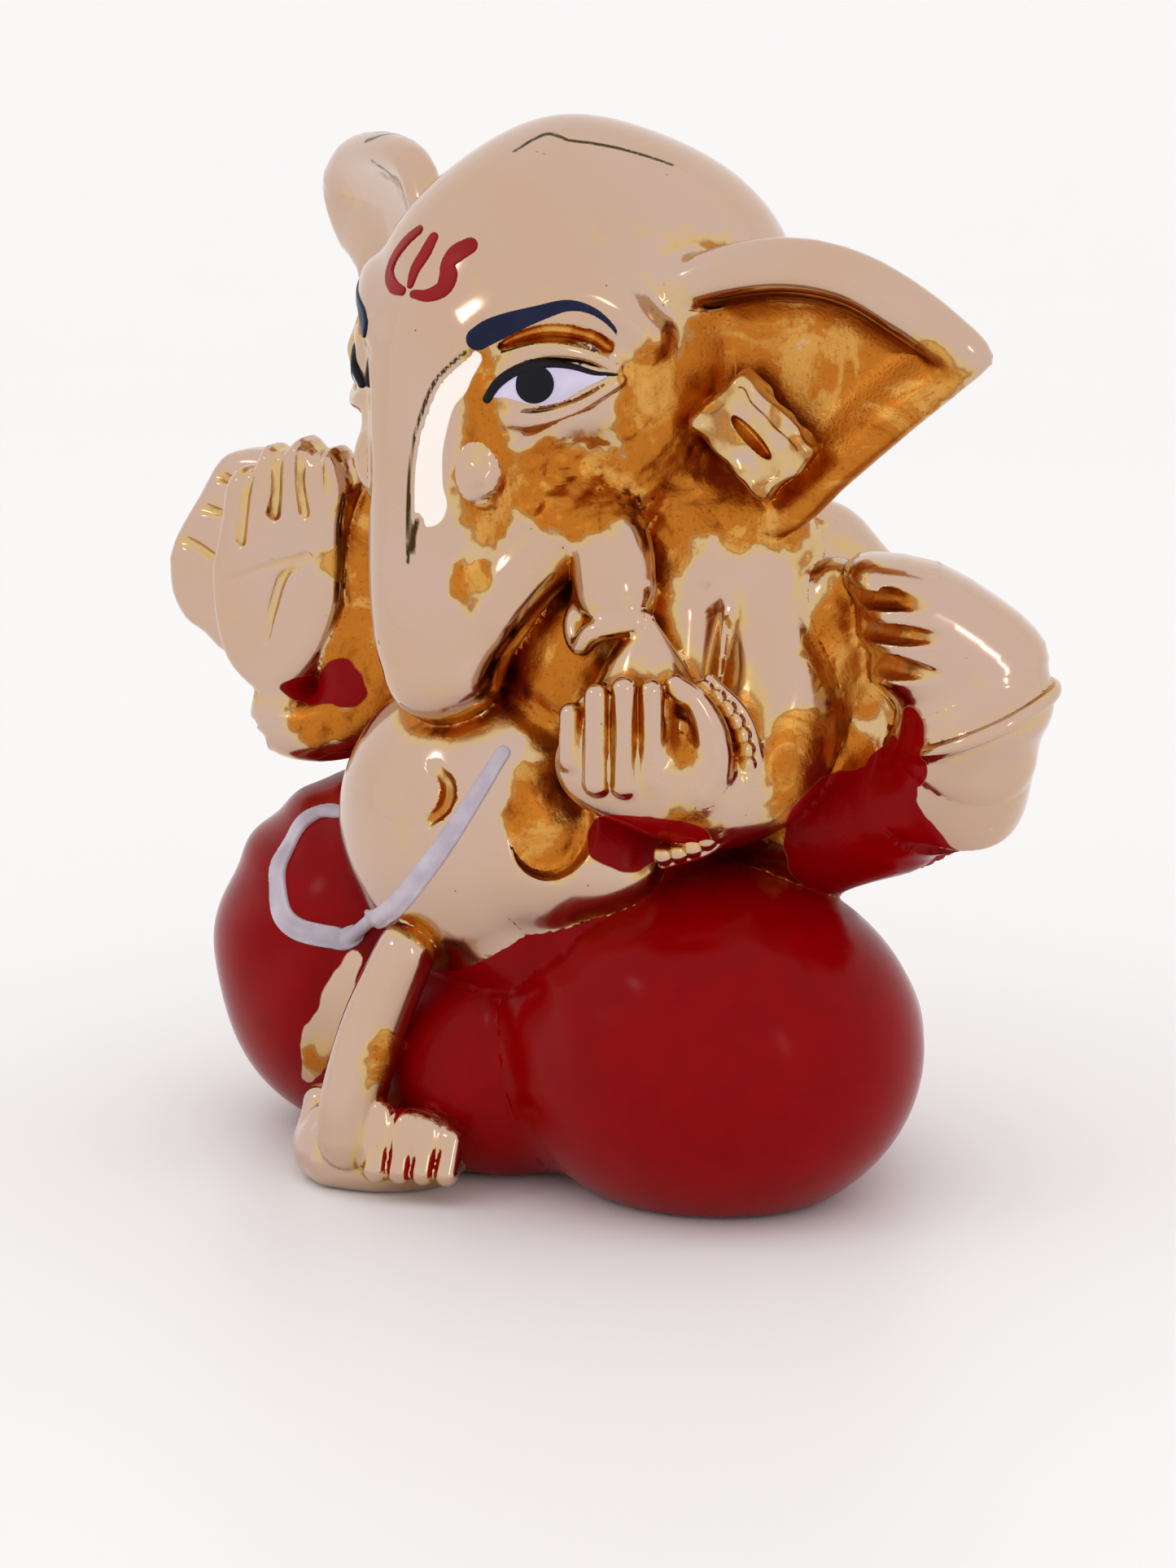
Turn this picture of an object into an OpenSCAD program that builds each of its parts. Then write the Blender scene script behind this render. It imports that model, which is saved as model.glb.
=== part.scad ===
// Seated Ganesha idol for a shelf or a car dashboard. It faces -Y and stands on z = 0.
// Left and right are the idol's own, so its left side lies along +X.

/* [Figure] */
// Height from the base to the top of the crown
idol_h = 75; // [60:1:110]

/* [Head] */
// Width of the skull across the temples
head_w = 27; // [25:0.5:29]
// Radius of the trunk where it meets the forehead
trunk_root_r = 8; // [7:0.25:9]
// Radius of the trunk in its bottom bend
trunk_bend_r = 5; // [4.4:0.1:5.6]
// Thickness of an ear at its rolled rim
ear_t = 3.2; // [2.6:0.1:4]
// Width of the ear studs across their corners
stud_w = 9; // [7.5:0.25:10]
// Length of an eye from corner to corner
eye_w = 8.4; // [7.4:0.1:9.4]

/* [Body] */
// Width of the belly
belly_w = 22; // [20:0.5:24]
// Width of the chest under the arms
chest_w = 31; // [29:0.5:33]
// Width of the left knee, from the middle of the lap outwards
left_knee_w = 31; // [29:0.5:33]
// Width of the right knee, from the middle of the lap outwards
right_knee_w = 26.6; // [25:0.5:28.5]

/* [Arms] */
// Radius of the upper arms at the shoulder
arm_r = 5; // [4.6:0.1:5.4]
// Radius of a finger on the raised right palm
finger_r = 1.6; // [1.3:0.05:1.8]
// Diameter of the beads of the left front bracelet
bead_d = 1.7; // [1.6:0.1:2.2]
// Diameter of the plain band on the left rear wrist
band_d = 1.5; // [1.2:0.1:2.2]

/* [Painted lines] */
// Width of the sacred thread
thread_w = 1.7; // [1.3:0.1:2.1]
// Width of one stroke of the forehead mark
tilak_w = 1.2; // [0.9:0.1:1.5]
// Width of the eyebrows at their widest
brow_w = 1.9; // [1.5:0.1:2.3]

/* [Quality] */
// Facets round the large masses
mass_fn = 20; // [16:2:24]
// Facets round limbs and fingers
limb_fn = 12; // [10:2:14]

/* [Hidden] */

// The figure is drawn 73.5 mm tall and scaled to its height.
drawn_h = 73.5;
detail_fn = 6;
path_steps = 2;
gold = "#d9b98f";
deep_gold = "#b8801f";
red_enamel = "#8e0d10";
navy = "#16203c";
white_enamel = "#e4dcef";

// Masses: middle and half widths
skull_at = [0.5, -1.5, 55];
skull_r = [head_w / 2, 14, 15.5];
crown_at = [0.5, -2.5, 63.5];
crown_r = [8.5, 9, 10];
nape_at = [2.5, 3, 60.5];
nape_r = [12, 11, 11];
face_at = [0.5, -8.5, 55];
face_r = [9.5, 9.3, 12];
chest_at = [0, 4, 34];
chest_r = [chest_w / 2, 11.5, 16];
waist_at = [2, -4, 18];
waist_r = [15, 12, 8];
belly_at = [0, -10.6, 25];
belly_r = [belly_w / 2, 9.5, 11];
left_knee_at = [14.5, -3.6, 10.4];
left_knee_r = [left_knee_w / 2, 14, 12.6];
right_knee_at = [-14.5, -4.5, 12.3];
right_knee_r = [right_knee_w / 2, 13.6, 13.8];
hips_at = [0, 5, 9];
hips_r = [24, 15, 12];
lap_at = [0, -8, 8];
lap_r = [10, 10.5, 9];

// Paths: rows of x, y, z and the radius there
trunk_path = [[0, -9.5, 56, trunk_root_r], [0, -12.3, 50, 7], [0, -14.5, 44, 5.7], [0.8, -16, 39.2, trunk_bend_r],
              [3.5, -15.6, 36.8, 4.5], [6.5, -13.2, 39.6, 3.9], [9, -10.8, 44.4, 3.4], [11.4, -10.3, 45, 3.2],
              [12.8, -11.2, 42.6, 3.3]];
left_front_path = [[14.5, 1, 43.5, arm_r], [18.5, -1, 36, arm_r - 0.2], [19, -4, 31, arm_r - 0.4],
                   [18, -7.5, 29.5, arm_r - 0.7], [16.8, -10.5, 30.5, arm_r - 0.8]];
left_rear_path = [[15, 6, 42, arm_r + 0.5], [22.5, 7, 34.5, arm_r + 0.6], [27, 5, 28.8, arm_r],
                  [30, 3.6, 32, arm_r - 0.4]];
right_front_path = [[-13, -1, 42, arm_r - 0.5], [-14.5, -4.5, 34, arm_r - 1], [-17.5, -7, 29.4, arm_r - 2.2],
                    [-21.6, -8.9, 28.9, arm_r - 2.7], [-21.6, -8.8, 32.5, arm_r - 2]];
right_rear_path = [[-15, 6, 41, arm_r], [-22, 3, 37, arm_r - 0.5], [-28, -1, 36, arm_r - 1],
                   [-32, -4, 36.5, arm_r - 1.4]];
foot_path = [[-0.2, -18.6, 17, 2.1], [-1.8, -20, 12, 2.3], [-2.6, -21.3, 7, 2.3], [-2.7, -21.5, 4, 2.4]];
thread_path = [[6.4, -15.6, 31.8], [5.2, -18.8, 27], [2.6, -19.6, 22.6], [-3.2, -18.4, 18], [-9.8, -17, 15.6],
               [-13, -17, 17.2], [-15.2, -15.8, 20], [-14.4, -14, 23.4], [-10.4, -15.6, 26.6]];
flank_path = [[10.5, -9.5, 29, 2.2], [8.6, -14.2, 26, 2.6], [7.8, -16, 22.4, 2.4], [11, -12.5, 21.6, 2.6]];

// An ear is a sail standing back from the temple, given by its x and z.
ear_slope = 0.51;
ear_root_y = -10;
left_ear_outline = [[11.5, 62], [15, 64], [20, 64.4], [24, 63.4], [27.6, 60.8], [29.6, 58.4], [26.2, 55],
                    [21.5, 50.4], [18.6, 47.6], [15, 46.8], [10.5, 52]];
right_ear_outline = [[11, 62], [15.5, 67.5], [20, 69], [24.5, 68], [27.4, 64.6], [26.6, 59], [22, 54.5], [17.5, 51],
                     [12, 51]];
left_dish_at = [19.5, -2.4, 56.5];
right_dish_at = [18.5, -2.8, 60.5];
dish_r = [7.6, 1.9, 7];

// The eyes lie on the face mass, at an angle round from the front and a height.
eye_turn = 52;
eye_z = 57;
eye_lift = 12;
pupil_r = 1.3;
lash_r = 0.32;
brow_arc = [[23, 59.6], [33, 61], [43, 61.8], [53, 61.2], [61, 59.6]];
lash_arc = [[32, 55.6], [41, 57.2], [52, 58], [63, 57.8], [72, 57]];

// Point on the face mass at an angle round from the front and a height, pushed out by some mm
function face_point(turn, z, out) =
    let (k = sqrt(1 - pow((z - face_at.z) / face_r.z, 2)))
    [face_at.x + (face_r.x * k + out) * sin(turn), face_at.y - (face_r.y * k + out) * cos(turn), z];
function with_radius(rows, r) = [for (row = rows) [row.x, row.y, row.z, r]];
// Smooth path through rows of numbers: each span is a cubic that leaves along its neighbours
function span(a, b, c, d, t) =
    0.5 * (2 * b + (c - a) * t + (2 * a - 5 * b + 4 * c - d) * t * t + (3 * b - a - 3 * c + d) * t * t * t);
function smooth(rows) =
    let (last = len(rows) - 1)
    [for (i = [0:last - 1], k = [0:path_steps - 1])
        span(rows[max(i - 1, 0)], rows[i], rows[i + 1], rows[min(i + 2, last)], k / path_steps), rows[last]];

// One closed skin round everything inside it, at the figure's real size
module cast_skin() resize([0, 0, 0]) scale(idol_h / drawn_h) children();
module blob(at, r, turn = [0, 0, 0], fn = mass_fn) translate(at) rotate(turn) scale(r) sphere(1, $fn = fn);
module ball(row, fn) translate([row.x, row.y, row.z]) sphere(row[3], $fn = fn);
module limb(rows, fn = limb_fn)
    for (i = [0:len(rows) - 2])
        hull() {
            ball(rows[i], fn);
            ball(rows[i + 1], fn);
        }
module above_floor() intersection() {
    children();
    translate([-60, -60, 0]) cube([120, 120, 90]);
}

// Solid masses before their neighbours are cut from them
module head_mass() {
    blob(skull_at, skull_r);
    blob(crown_at, crown_r);
    blob(nape_at, nape_r);
    blob(face_at, face_r);
}
module trunk_mass() limb(smooth(trunk_path), limb_fn + 2);
module tusk_mass(side) limb([[side * 4.8, -14.6, 51.5, 1.6], [side * 6, -16.6, 49.6, 1.1]], limb_fn);
module ear_mass(side, outline)
    hull()
        for (p = outline)
            translate([side * p[0], ear_root_y + ear_slope * p[0], p[1]]) sphere(ear_t / 2, $fn = limb_fn);
module dish(side, at) blob([side * at.x, at.y, at.z], dish_r, [0, 0, side * atan(ear_slope)]);
module stud_mass(side, z) translate([side * 15.6, -3.6, z]) rotate([0, 0, side * 27]) rotate([90, 0, 0])
    hull()
        for (a = [0:90:270])
            rotate(a) translate([stud_w / 2 - 1, 0, 0]) sphere(1, $fn = limb_fn);
module eye_mass(side) translate(face_point(side * eye_turn, eye_z, -0.5)) rotate([0, 0, side * eye_turn])
    rotate([0, side * -eye_lift, 0]) scale([eye_w / 2, 1.1, 1.5]) sphere(1, $fn = limb_fn);
module pupil_mass(side) translate(face_point(side * eye_turn, eye_z + 0.1, 0.2)) rotate([0, 0, side * eye_turn])
    scale([pupil_r, 0.7, pupil_r]) sphere(1, $fn = limb_fn);
module face_line(side, arc, r, out)
    limb(smooth([for (p = arc) concat(face_point(side * p[0], p[1], out), [r])]), detail_fn);
module tilak_mass() {
    limb([[-1.2, -13, 66.2, tilak_w / 2], [-3, -14.4, 63.4, tilak_w / 2], [-2.6, -15, 61.8, tilak_w / 2]], detail_fn);
    limb([[0.2, -12.9, 66.2, tilak_w / 2], [-1.4, -15, 62.6, tilak_w / 2]], detail_fn);
    limb([[2, -13, 66, tilak_w / 2], [0.9, -14.3, 64.6, tilak_w / 2], [0.9, -15.2, 63.2, tilak_w / 2],
          [-0.6, -15.8, 61.8, tilak_w / 2]], detail_fn);
}
module torso_mass() {
    blob(chest_at, chest_r);
    blob(waist_at, waist_r);
}
module belly_mass() difference() {
    blob(belly_at, belly_r);
    blob([1.4, -20, 29.6], [0.7, 1.6, 1.5], [15, 0, 20], limb_fn);
}
module flank_mass() limb(smooth(flank_path));
module thread_mass() limb(smooth(with_radius(thread_path, thread_w / 2)), detail_fn);
module left_front_arm_mass() limb(smooth(left_front_path));
module left_rear_arm_mass() {
    limb(smooth(left_rear_path));
    limb([[19.5, 2.5, 26.5, arm_r - 0.4], [24.5, 3.5, 27.2, arm_r - 0.6]]);
}
module right_front_arm_mass() limb(smooth(right_front_path));
module right_rear_arm_mass() limb(smooth(right_rear_path));
// A raised hand: a palm, four fingers side by side and a thumb, turned about its own upright
module raised_hand(at, turn, palm, tips, r, spread, thumb) translate(at) rotate([0, 0, turn]) {
    blob([0, 0, 0], palm, [0, 0, 0], limb_fn + 2);
    for (i = [0:len(tips) - 1])
        limb([[(i - 1.5) * spread, 0.3, 0, r], [(i - 1.5) * spread, -0.2, tips[i] - r, r]]);
    limb([[thumb, -0.6, -palm.z / 2, r], [thumb * 1.05, -1.2, palm.z * 0.75, r * 0.9]]);
}
module right_palm() raised_hand([-21.3, -8.6, 37.4], 18, [5.6, 3, 6], [9.4, 11.4, 12, 11], finger_r, 2.8, 5);
module right_rear_palm() raised_hand([-33.2, -4.8, 37.6], -12, [3.8, 2.7, 5.6], [7, 8.6, 8.8, 7.6], 1.45, 2.3, 3.4);
module left_palm() raised_hand([16, -12.4, 32.2], 42, [5.2, 3.3, 4.2], [5.4, 6.2, 6.3, 5.8], 1.25, 2.3, 4.7);
module left_fist() {
    blob([29.6, 3.3, 38.9], [7.4, 5.8, 6.8], [0, 0, 15], limb_fn + 4);
    for (z = [35, 37.6, 40.3, 43])
        limb([[30.7, -1.7, z, 1.7], [25.2, -1.3, z + 0.3, 1.7]]);
}
module modak_mass() hull() {
    translate([15.2, -11.2, 37.2]) sphere(3.1, $fn = limb_fn + 4);
    translate([15.5, -11.4, 41]) sphere(0.7, $fn = limb_fn);
}
module bead_ring() {
    ring_r = 6.45;
    beads = 14;
    bead_turn = 13;
    translate([16.2, -11.4, 31.6]) rotate([0, 0, 42])
        for (i = [0:beads - 1])
            rotate([0, -58 + i * bead_turn, 0]) translate([ring_r, 0, 0]) sphere(bead_d / 2, $fn = detail_fn);
}
module band_ring() {
    ring_r = 5.3;
    sides = 16;
    translate([31.9, 4, 34.4]) rotate([0, -24, 42])
        limb([for (i = [0:sides])
            [ring_r * cos(i * 360 / sides), ring_r * sin(i * 360 / sides), 0, band_d / 2]], detail_fn);
}
module left_leg_mass() above_floor() blob(left_knee_at, left_knee_r);
module right_leg_mass() above_floor() blob(right_knee_at, right_knee_r);
module left_foot_mass() above_floor() {
    limb(smooth(foot_path));
    for (i = [0:2])
        ball([-0.4 + 1.8 * i, -21.6 + 0.9 * i, 4.2, 1.5], limb_fn);
}
module right_foot_mass() above_floor() {
    blob([-3, -18.2, 2], [6.4, 5.6, 3.4], [0, 0, 20], limb_fn + 4);
    for (i = [0:2])
        ball([-7.6 + 1.4 * i, -19.2 - 0.8 * i, 2.8, 1.5], limb_fn);
}

// Pieces of the head
module head() color(gold) cast_skin() difference() {
    head_mass();
    trunk_mass();
    ear_mass(1, left_ear_outline);
    ear_mass(-1, right_ear_outline);
    tilak_mass();
    for (side = [-1, 1]) {
        tusk_mass(side);
        eye_mass(side);
        pupil_mass(side);
        face_line(side, lash_arc, lash_r, 0.1);
        face_line(side, brow_arc, brow_w / 2, -0.2);
    }
    stud_mass(1, 52.6);
    stud_mass(-1, 56.4);
}
module trunk() color(gold) cast_skin() difference() {
    trunk_mass();
    for (x = [-1.1, 1.1])
        translate([13.2 + x * 0.7, -12 + x * 0.7, 39]) cylinder(h = 2.4, r = 0.6, $fn = limb_fn);
    tusk_mass(1);
    tusk_mass(-1);
    modak_mass();
    left_palm();
}
module left_tusk() color(gold) cast_skin() tusk_mass(1);
module right_tusk() color(gold) cast_skin() tusk_mass(-1);
module left_ear() color(deep_gold) cast_skin() difference() {
    ear_mass(1, left_ear_outline);
    dish(1, left_dish_at);
    stud_mass(1, 52.6);
}
module right_ear() color(gold) cast_skin() difference() {
    ear_mass(-1, right_ear_outline);
    dish(-1, right_dish_at);
    stud_mass(-1, 56.4);
}
module left_ear_stud() color(gold) cast_skin() stud_mass(1, 52.6);
module right_ear_stud() color(gold) cast_skin() stud_mass(-1, 56.4);
module eye(side) color(white_enamel) cast_skin() difference() {
    eye_mass(side);
    pupil_mass(side);
    face_line(side, lash_arc, lash_r, 0.1);
}
module left_eye() eye(1);
module right_eye() eye(-1);
module left_pupil() color(navy) cast_skin() pupil_mass(1);
module right_pupil() color(navy) cast_skin() pupil_mass(-1);
module lash_line(side) color(navy) cast_skin() difference() {
    face_line(side, lash_arc, lash_r, 0.1);
    pupil_mass(side);
}
module left_lash_line() lash_line(1);
module right_lash_line() lash_line(-1);
module left_brow() color(navy) cast_skin() face_line(1, brow_arc, brow_w / 2, -0.2);
module right_brow() color(navy) cast_skin() face_line(-1, brow_arc, brow_w / 2, -0.2);
module tilak() color(red_enamel) cast_skin() tilak_mass();

// Pieces of the body
module torso() color(deep_gold) cast_skin() difference() {
    torso_mass();
    head_mass();
    trunk_mass();
    ear_mass(1, left_ear_outline);
    belly_mass();
    flank_mass();
    thread_mass();
    left_front_arm_mass();
    left_rear_arm_mass();
    right_front_arm_mass();
    right_rear_arm_mass();
    left_palm();
    left_leg_mass();
    right_leg_mass();
}
module belly() color(gold) cast_skin() difference() {
    belly_mass();
    trunk_mass();
    flank_mass();
    thread_mass();
    left_palm();
    left_leg_mass();
    right_leg_mass();
}
module left_flank() color(gold) cast_skin() difference() {
    flank_mass();
    thread_mass();
    left_palm();
    left_leg_mass();
}
module sacred_thread() color(white_enamel) cast_skin() thread_mass();

// Pieces of the arms
module left_front_arm() color(gold) cast_skin() difference() {
    left_front_arm_mass();
    ear_mass(1, left_ear_outline);
    head_mass();
    left_palm();
    left_rear_arm_mass();
    left_leg_mass();
}
module left_front_hand() color(gold) cast_skin() difference() {
    left_palm();
    modak_mass();
}
module beaded_bracelet() color(gold) cast_skin() difference() {
    bead_ring();
    left_front_arm_mass();
    left_palm();
    torso_mass();
    belly_mass();
    flank_mass();
    left_leg_mass();
}
module modak() color(gold) cast_skin() modak_mass();
module left_rear_arm() color(gold) cast_skin() difference() {
    left_rear_arm_mass();
    ear_mass(1, left_ear_outline);
    head_mass();
    left_fist();
    band_ring();
    left_leg_mass();
}
module left_rear_hand() color(gold) cast_skin() difference() {
    left_fist();
    band_ring();
}
module wrist_band() color(gold) cast_skin() band_ring();
module right_front_arm() color(gold) cast_skin() difference() {
    right_front_arm_mass();
    head_mass();
    right_palm();
    right_rear_arm_mass();
    right_leg_mass();
}
module right_front_hand() color(gold) cast_skin() right_palm();
module right_rear_arm() color(gold) cast_skin() difference() {
    right_rear_arm_mass();
    ear_mass(-1, right_ear_outline);
    head_mass();
    right_rear_palm();
    right_palm();
    right_leg_mass();
}
module right_rear_hand() color(gold) cast_skin() difference() {
    right_rear_palm();
    right_palm();
}

// Pieces of the lower body
module seat() color(red_enamel) cast_skin() difference() {
    above_floor() {
        blob(hips_at, hips_r);
        blob(lap_at, lap_r);
    }
    torso_mass();
    belly_mass();
    left_leg_mass();
    right_leg_mass();
    left_foot_mass();
    right_foot_mass();
    thread_mass();
    flank_mass();
}
module left_leg() color(red_enamel) cast_skin() difference() {
    left_leg_mass();
    thread_mass();
    left_foot_mass();
    right_foot_mass();
    right_leg_mass();
}
module right_leg() color(red_enamel) cast_skin() difference() {
    right_leg_mass();
    thread_mass();
    left_foot_mass();
    right_foot_mass();
}
module left_foot() color(gold) cast_skin() left_foot_mass();
module right_foot() color(gold) cast_skin() difference() {
    right_foot_mass();
    left_foot_mass();
}

head();
trunk();
left_tusk();
right_tusk();
left_ear();
right_ear();
left_ear_stud();
right_ear_stud();
left_eye();
right_eye();
left_pupil();
right_pupil();
left_lash_line();
right_lash_line();
left_brow();
right_brow();
tilak();
torso();
belly();
left_flank();
sacred_thread();
left_front_arm();
left_front_hand();
beaded_bracelet();
modak();
left_rear_arm();
left_rear_hand();
wrist_band();
right_front_arm();
right_front_hand();
right_rear_arm();
right_rear_hand();
seat();
left_leg();
right_leg();
left_foot();
right_foot();
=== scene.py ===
"""Looks of a small gold-plated, hand-painted Ganesha idol.

Every part is sculpted as a distance field in drawn millimetres, in the units and places of the CAD
masses, then skinned as a closed mesh. The parts share one blended field, so each meets the next
without a step. The figure faces -Y, and its own left is +X.
"""
import math
from concurrent.futures import ThreadPoolExecutor
import bpy
import numpy as np
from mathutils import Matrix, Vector


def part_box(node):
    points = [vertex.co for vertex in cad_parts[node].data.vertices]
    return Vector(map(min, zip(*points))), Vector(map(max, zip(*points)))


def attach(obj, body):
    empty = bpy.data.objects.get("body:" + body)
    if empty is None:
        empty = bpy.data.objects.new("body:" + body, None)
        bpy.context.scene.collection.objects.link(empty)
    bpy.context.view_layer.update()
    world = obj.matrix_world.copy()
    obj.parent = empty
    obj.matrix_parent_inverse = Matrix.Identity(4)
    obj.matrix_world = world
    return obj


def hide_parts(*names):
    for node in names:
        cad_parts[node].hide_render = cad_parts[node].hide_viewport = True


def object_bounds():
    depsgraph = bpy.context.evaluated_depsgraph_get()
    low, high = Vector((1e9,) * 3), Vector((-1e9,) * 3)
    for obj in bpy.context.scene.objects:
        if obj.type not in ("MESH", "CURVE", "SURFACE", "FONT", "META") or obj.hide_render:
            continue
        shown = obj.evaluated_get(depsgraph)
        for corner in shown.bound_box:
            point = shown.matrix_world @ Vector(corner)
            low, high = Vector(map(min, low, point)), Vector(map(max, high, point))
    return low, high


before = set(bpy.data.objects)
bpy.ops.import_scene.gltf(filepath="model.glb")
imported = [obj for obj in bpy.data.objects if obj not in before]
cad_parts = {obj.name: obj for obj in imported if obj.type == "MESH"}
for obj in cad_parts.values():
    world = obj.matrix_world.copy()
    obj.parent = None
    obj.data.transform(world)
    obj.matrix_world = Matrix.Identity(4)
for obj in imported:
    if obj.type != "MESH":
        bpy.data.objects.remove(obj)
cad_lo, cad_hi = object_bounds()
DRAWN_H = 73.5
UNIT = (cad_hi.z - cad_lo.z) / DRAWN_H
FACING = 42  # degrees from the front to the side that the camera and the left hands face

# -------- distance fields


def turned(ax, ay, az):
    """Rotation matrix for turns in degrees about X, then Y, then Z."""
    cx, cy, cz = (math.cos(math.radians(a)) for a in (ax, ay, az))
    sx, sy, sz = (math.sin(math.radians(a)) for a in (ax, ay, az))
    rx = np.array([[1, 0, 0], [0, cx, -sx], [0, sx, cx]])
    ry = np.array([[cy, 0, sy], [0, 1, 0], [-sy, 0, cy]])
    rz = np.array([[cz, -sz, 0], [sz, cz, 0], [0, 0, 1]])
    return rz @ ry @ rx


def blob(p, at, r, turn=(0, 0, 0)):
    """Ellipsoid."""
    q = (p - np.asarray(at, float)) @ turned(*turn)
    r = np.asarray(r, float)
    near = np.linalg.norm(q / r, axis=1)
    steep = np.linalg.norm(q / (r * r), axis=1)
    return near * (near - 1) / np.maximum(steep, 1e-9)


def smooth(rows, steps):
    """Smooth path through rows of numbers."""
    a = np.asarray(rows, float)
    a = np.vstack([2 * a[0] - a[1], a, 2 * a[-1] - a[-2]])
    out = []
    for i in range(1, len(a) - 2):
        p0, p1, p2, p3 = a[i - 1:i + 3]
        for t in np.arange(steps) / steps:
            out.append(0.5 * (2 * p1 + (p2 - p0) * t + (2 * p0 - 5 * p1 + 4 * p2 - p3) * t * t
                              + (3 * p1 - p0 - 3 * p2 + p3) * t ** 3))
    out.append(a[-2])
    return np.array(out)


def capsule(p, a, b):
    """Distance to a round cone between two rows, and how far along it the nearest place is."""
    along = b[:3] - a[:3]
    t = np.clip(((p - a[:3]) @ along) / max(along @ along, 1e-9), 0, 1)
    return np.linalg.norm(p - (a[:3] + t[:, None] * along), axis=1) - (a[3] + t * (b[3] - a[3])), t


def limb(p, rows, steps=3):
    """Round tube along a smooth path whose rows are x, y, z, radius."""
    rows = np.asarray(rows, float)
    if len(rows) == 2:
        return capsule(p, rows[0], rows[1])[0]
    path = smooth(rows, steps)
    best, at = np.full(len(p), 1e3), np.zeros(len(p))
    for i, (a, b) in enumerate(zip(path[:-1], path[1:])):
        d, t = capsule(p, a, b)
        near = d < best
        best[near] = d[near]
        at[near] = i + t[near]
    near = best < 4
    if near.any():
        best[near] = curve_distance(p[near], rows, at[near] / steps)
    return best


def curve_distance(p, rows, at):
    """Distance to the true smooth curve, refined from a nearby place along it."""
    padded = np.vstack([2 * rows[0] - rows[1], rows, 2 * rows[-1] - rows[-2]])
    for turn in range(3):
        span = np.clip(at.astype(int), 0, len(rows) - 2)
        t = (at - span)[:, None]
        p0, p1, p2, p3 = (padded[span + k] for k in range(4))
        b, c, d = p2 - p0, 2 * p0 - 5 * p1 + 4 * p2 - p3, 3 * p1 - p0 - 3 * p2 + p3
        row = p1 + 0.5 * (b * t + c * t * t + d * t ** 3)
        if turn < 2:
            speed = 0.5 * (b + 2 * c * t + 3 * d * t * t)[:, :3]
            step = ((p - row[:, :3]) * speed).sum(1) / np.maximum((speed * speed).sum(1), 1e-9)
            at = np.clip(at + step, 0, len(rows) - 1)
    return np.linalg.norm(p - row[:, :3], axis=1) - row[:, 3]


def outline(a, b, points):
    """Signed distance in a plane to a closed outline."""
    pts = np.asarray(points, float)
    d = np.full(len(a), 1e6)
    sign = np.ones(len(a))
    for p0, p1 in zip(pts, np.roll(pts, -1, axis=0)):
        e = p1 - p0
        wa, wb = a - p0[0], b - p0[1]
        t = np.clip((wa * e[0] + wb * e[1]) / (e @ e), 0, 1)
        np.minimum(d, (wa - e[0] * t) ** 2 + (wb - e[1] * t) ** 2, out=d)
        above, below, left = b >= p0[1], b < p1[1], e[0] * wb > e[1] * wa
        sign = np.where((above & below & left) | (~above & ~below & ~left), -sign, sign)
    return sign * np.sqrt(d)


def soft_min(a, b, k):
    h = np.clip(0.5 + 0.5 * (b - a) / k, 0, 1)
    return b * (1 - h) + a * h - k * h * (1 - h)


def soft_max(a, b, k):
    return -soft_min(-a, -b, k)


def join(k, fields):
    out = fields[0]
    for f in fields[1:]:
        out = soft_min(out, f, k)
    return out


def carve(field, tools, k):
    """The field with grooves or hollows cut in it."""
    for t in tools:
        field = soft_max(field, -t, k)
    return field


def mirrored(rows):
    return [(-row[0], *row[1:]) for row in rows]


def noise(p, size, seed=0):
    """Smooth value noise from 0 to 1, with features of the given size."""
    q = p / size + 37.0 * (seed + 1)
    cell = np.floor(q).astype(np.int64)
    f = q - cell
    u = f * f * (3 - 2 * f)
    out = np.zeros(len(p))
    for dx in (0, 1):
        for dy in (0, 1):
            for dz in (0, 1):
                h = ((cell[:, 0] + dx) * 73856093 ^ (cell[:, 1] + dy) * 19349663
                     ^ (cell[:, 2] + dz) * 83492791)
                h = (h ^ (h >> 13)) * 1274126177 & 0x7FFFFFFF
                w = (np.where(dx, u[:, 0], 1 - u[:, 0]) * np.where(dy, u[:, 1], 1 - u[:, 1])
                     * np.where(dz, u[:, 2], 1 - u[:, 2]))
                out += w * (h % 65536) / 65535
    return out


# -------- the sculpted parts

# Each ear lies in an upright plane that runs back as it goes out
EAR_SLOPE = 0.51
EAR_ROOT_Y = -10
EAR_STRETCH = math.hypot(1, EAR_SLOPE)
EAR_U = np.array([1, EAR_SLOPE, 0]) / EAR_STRETCH
EAR_N = np.array([EAR_SLOPE, -1, 0]) / EAR_STRETCH
# Outlines of the ears as x, z, their rims as x, z, radius, and the amber dish of the left one
LEFT_EAR = [(9.5, 61.5), (13, 64.6), (18, 65.9), (22, 65.3), (26, 63.2), (29.6, 60.4), (31, 58.6),
            (30.2, 57.2), (26.4, 53.6), (22, 49.2), (19.4, 46.4), (16, 45.4), (12, 47), (9.5, 53)]
RIGHT_EAR = [(9.5, 60), (11, 67.5), (14, 70.3), (18, 71), (22.5, 70.8), (26.5, 70), (29.6, 68.2),
             (30.6, 66.3), (29.6, 64.2), (26.9, 62), (23.4, 60.6), (21.2, 56.5), (18.4, 52), (14.5, 50.4),
             (11, 51.5), (9.5, 54)]
LEFT_RIM = [(9, 60.6, 1.4), (13, 63, 1.7), (18, 64.1, 1.8), (22.4, 63.4, 1.8), (26, 61.2, 1.8),
            (28.9, 58.8, 1.5)]
RIGHT_RIM = [(10.4, 65.6, 1.1), (13.4, 69, 1.2), (17.6, 69.7, 1.3), (22, 69.5, 1.3), (26, 68.6, 1.25),
             (28.6, 67, 1.1)]
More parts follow.
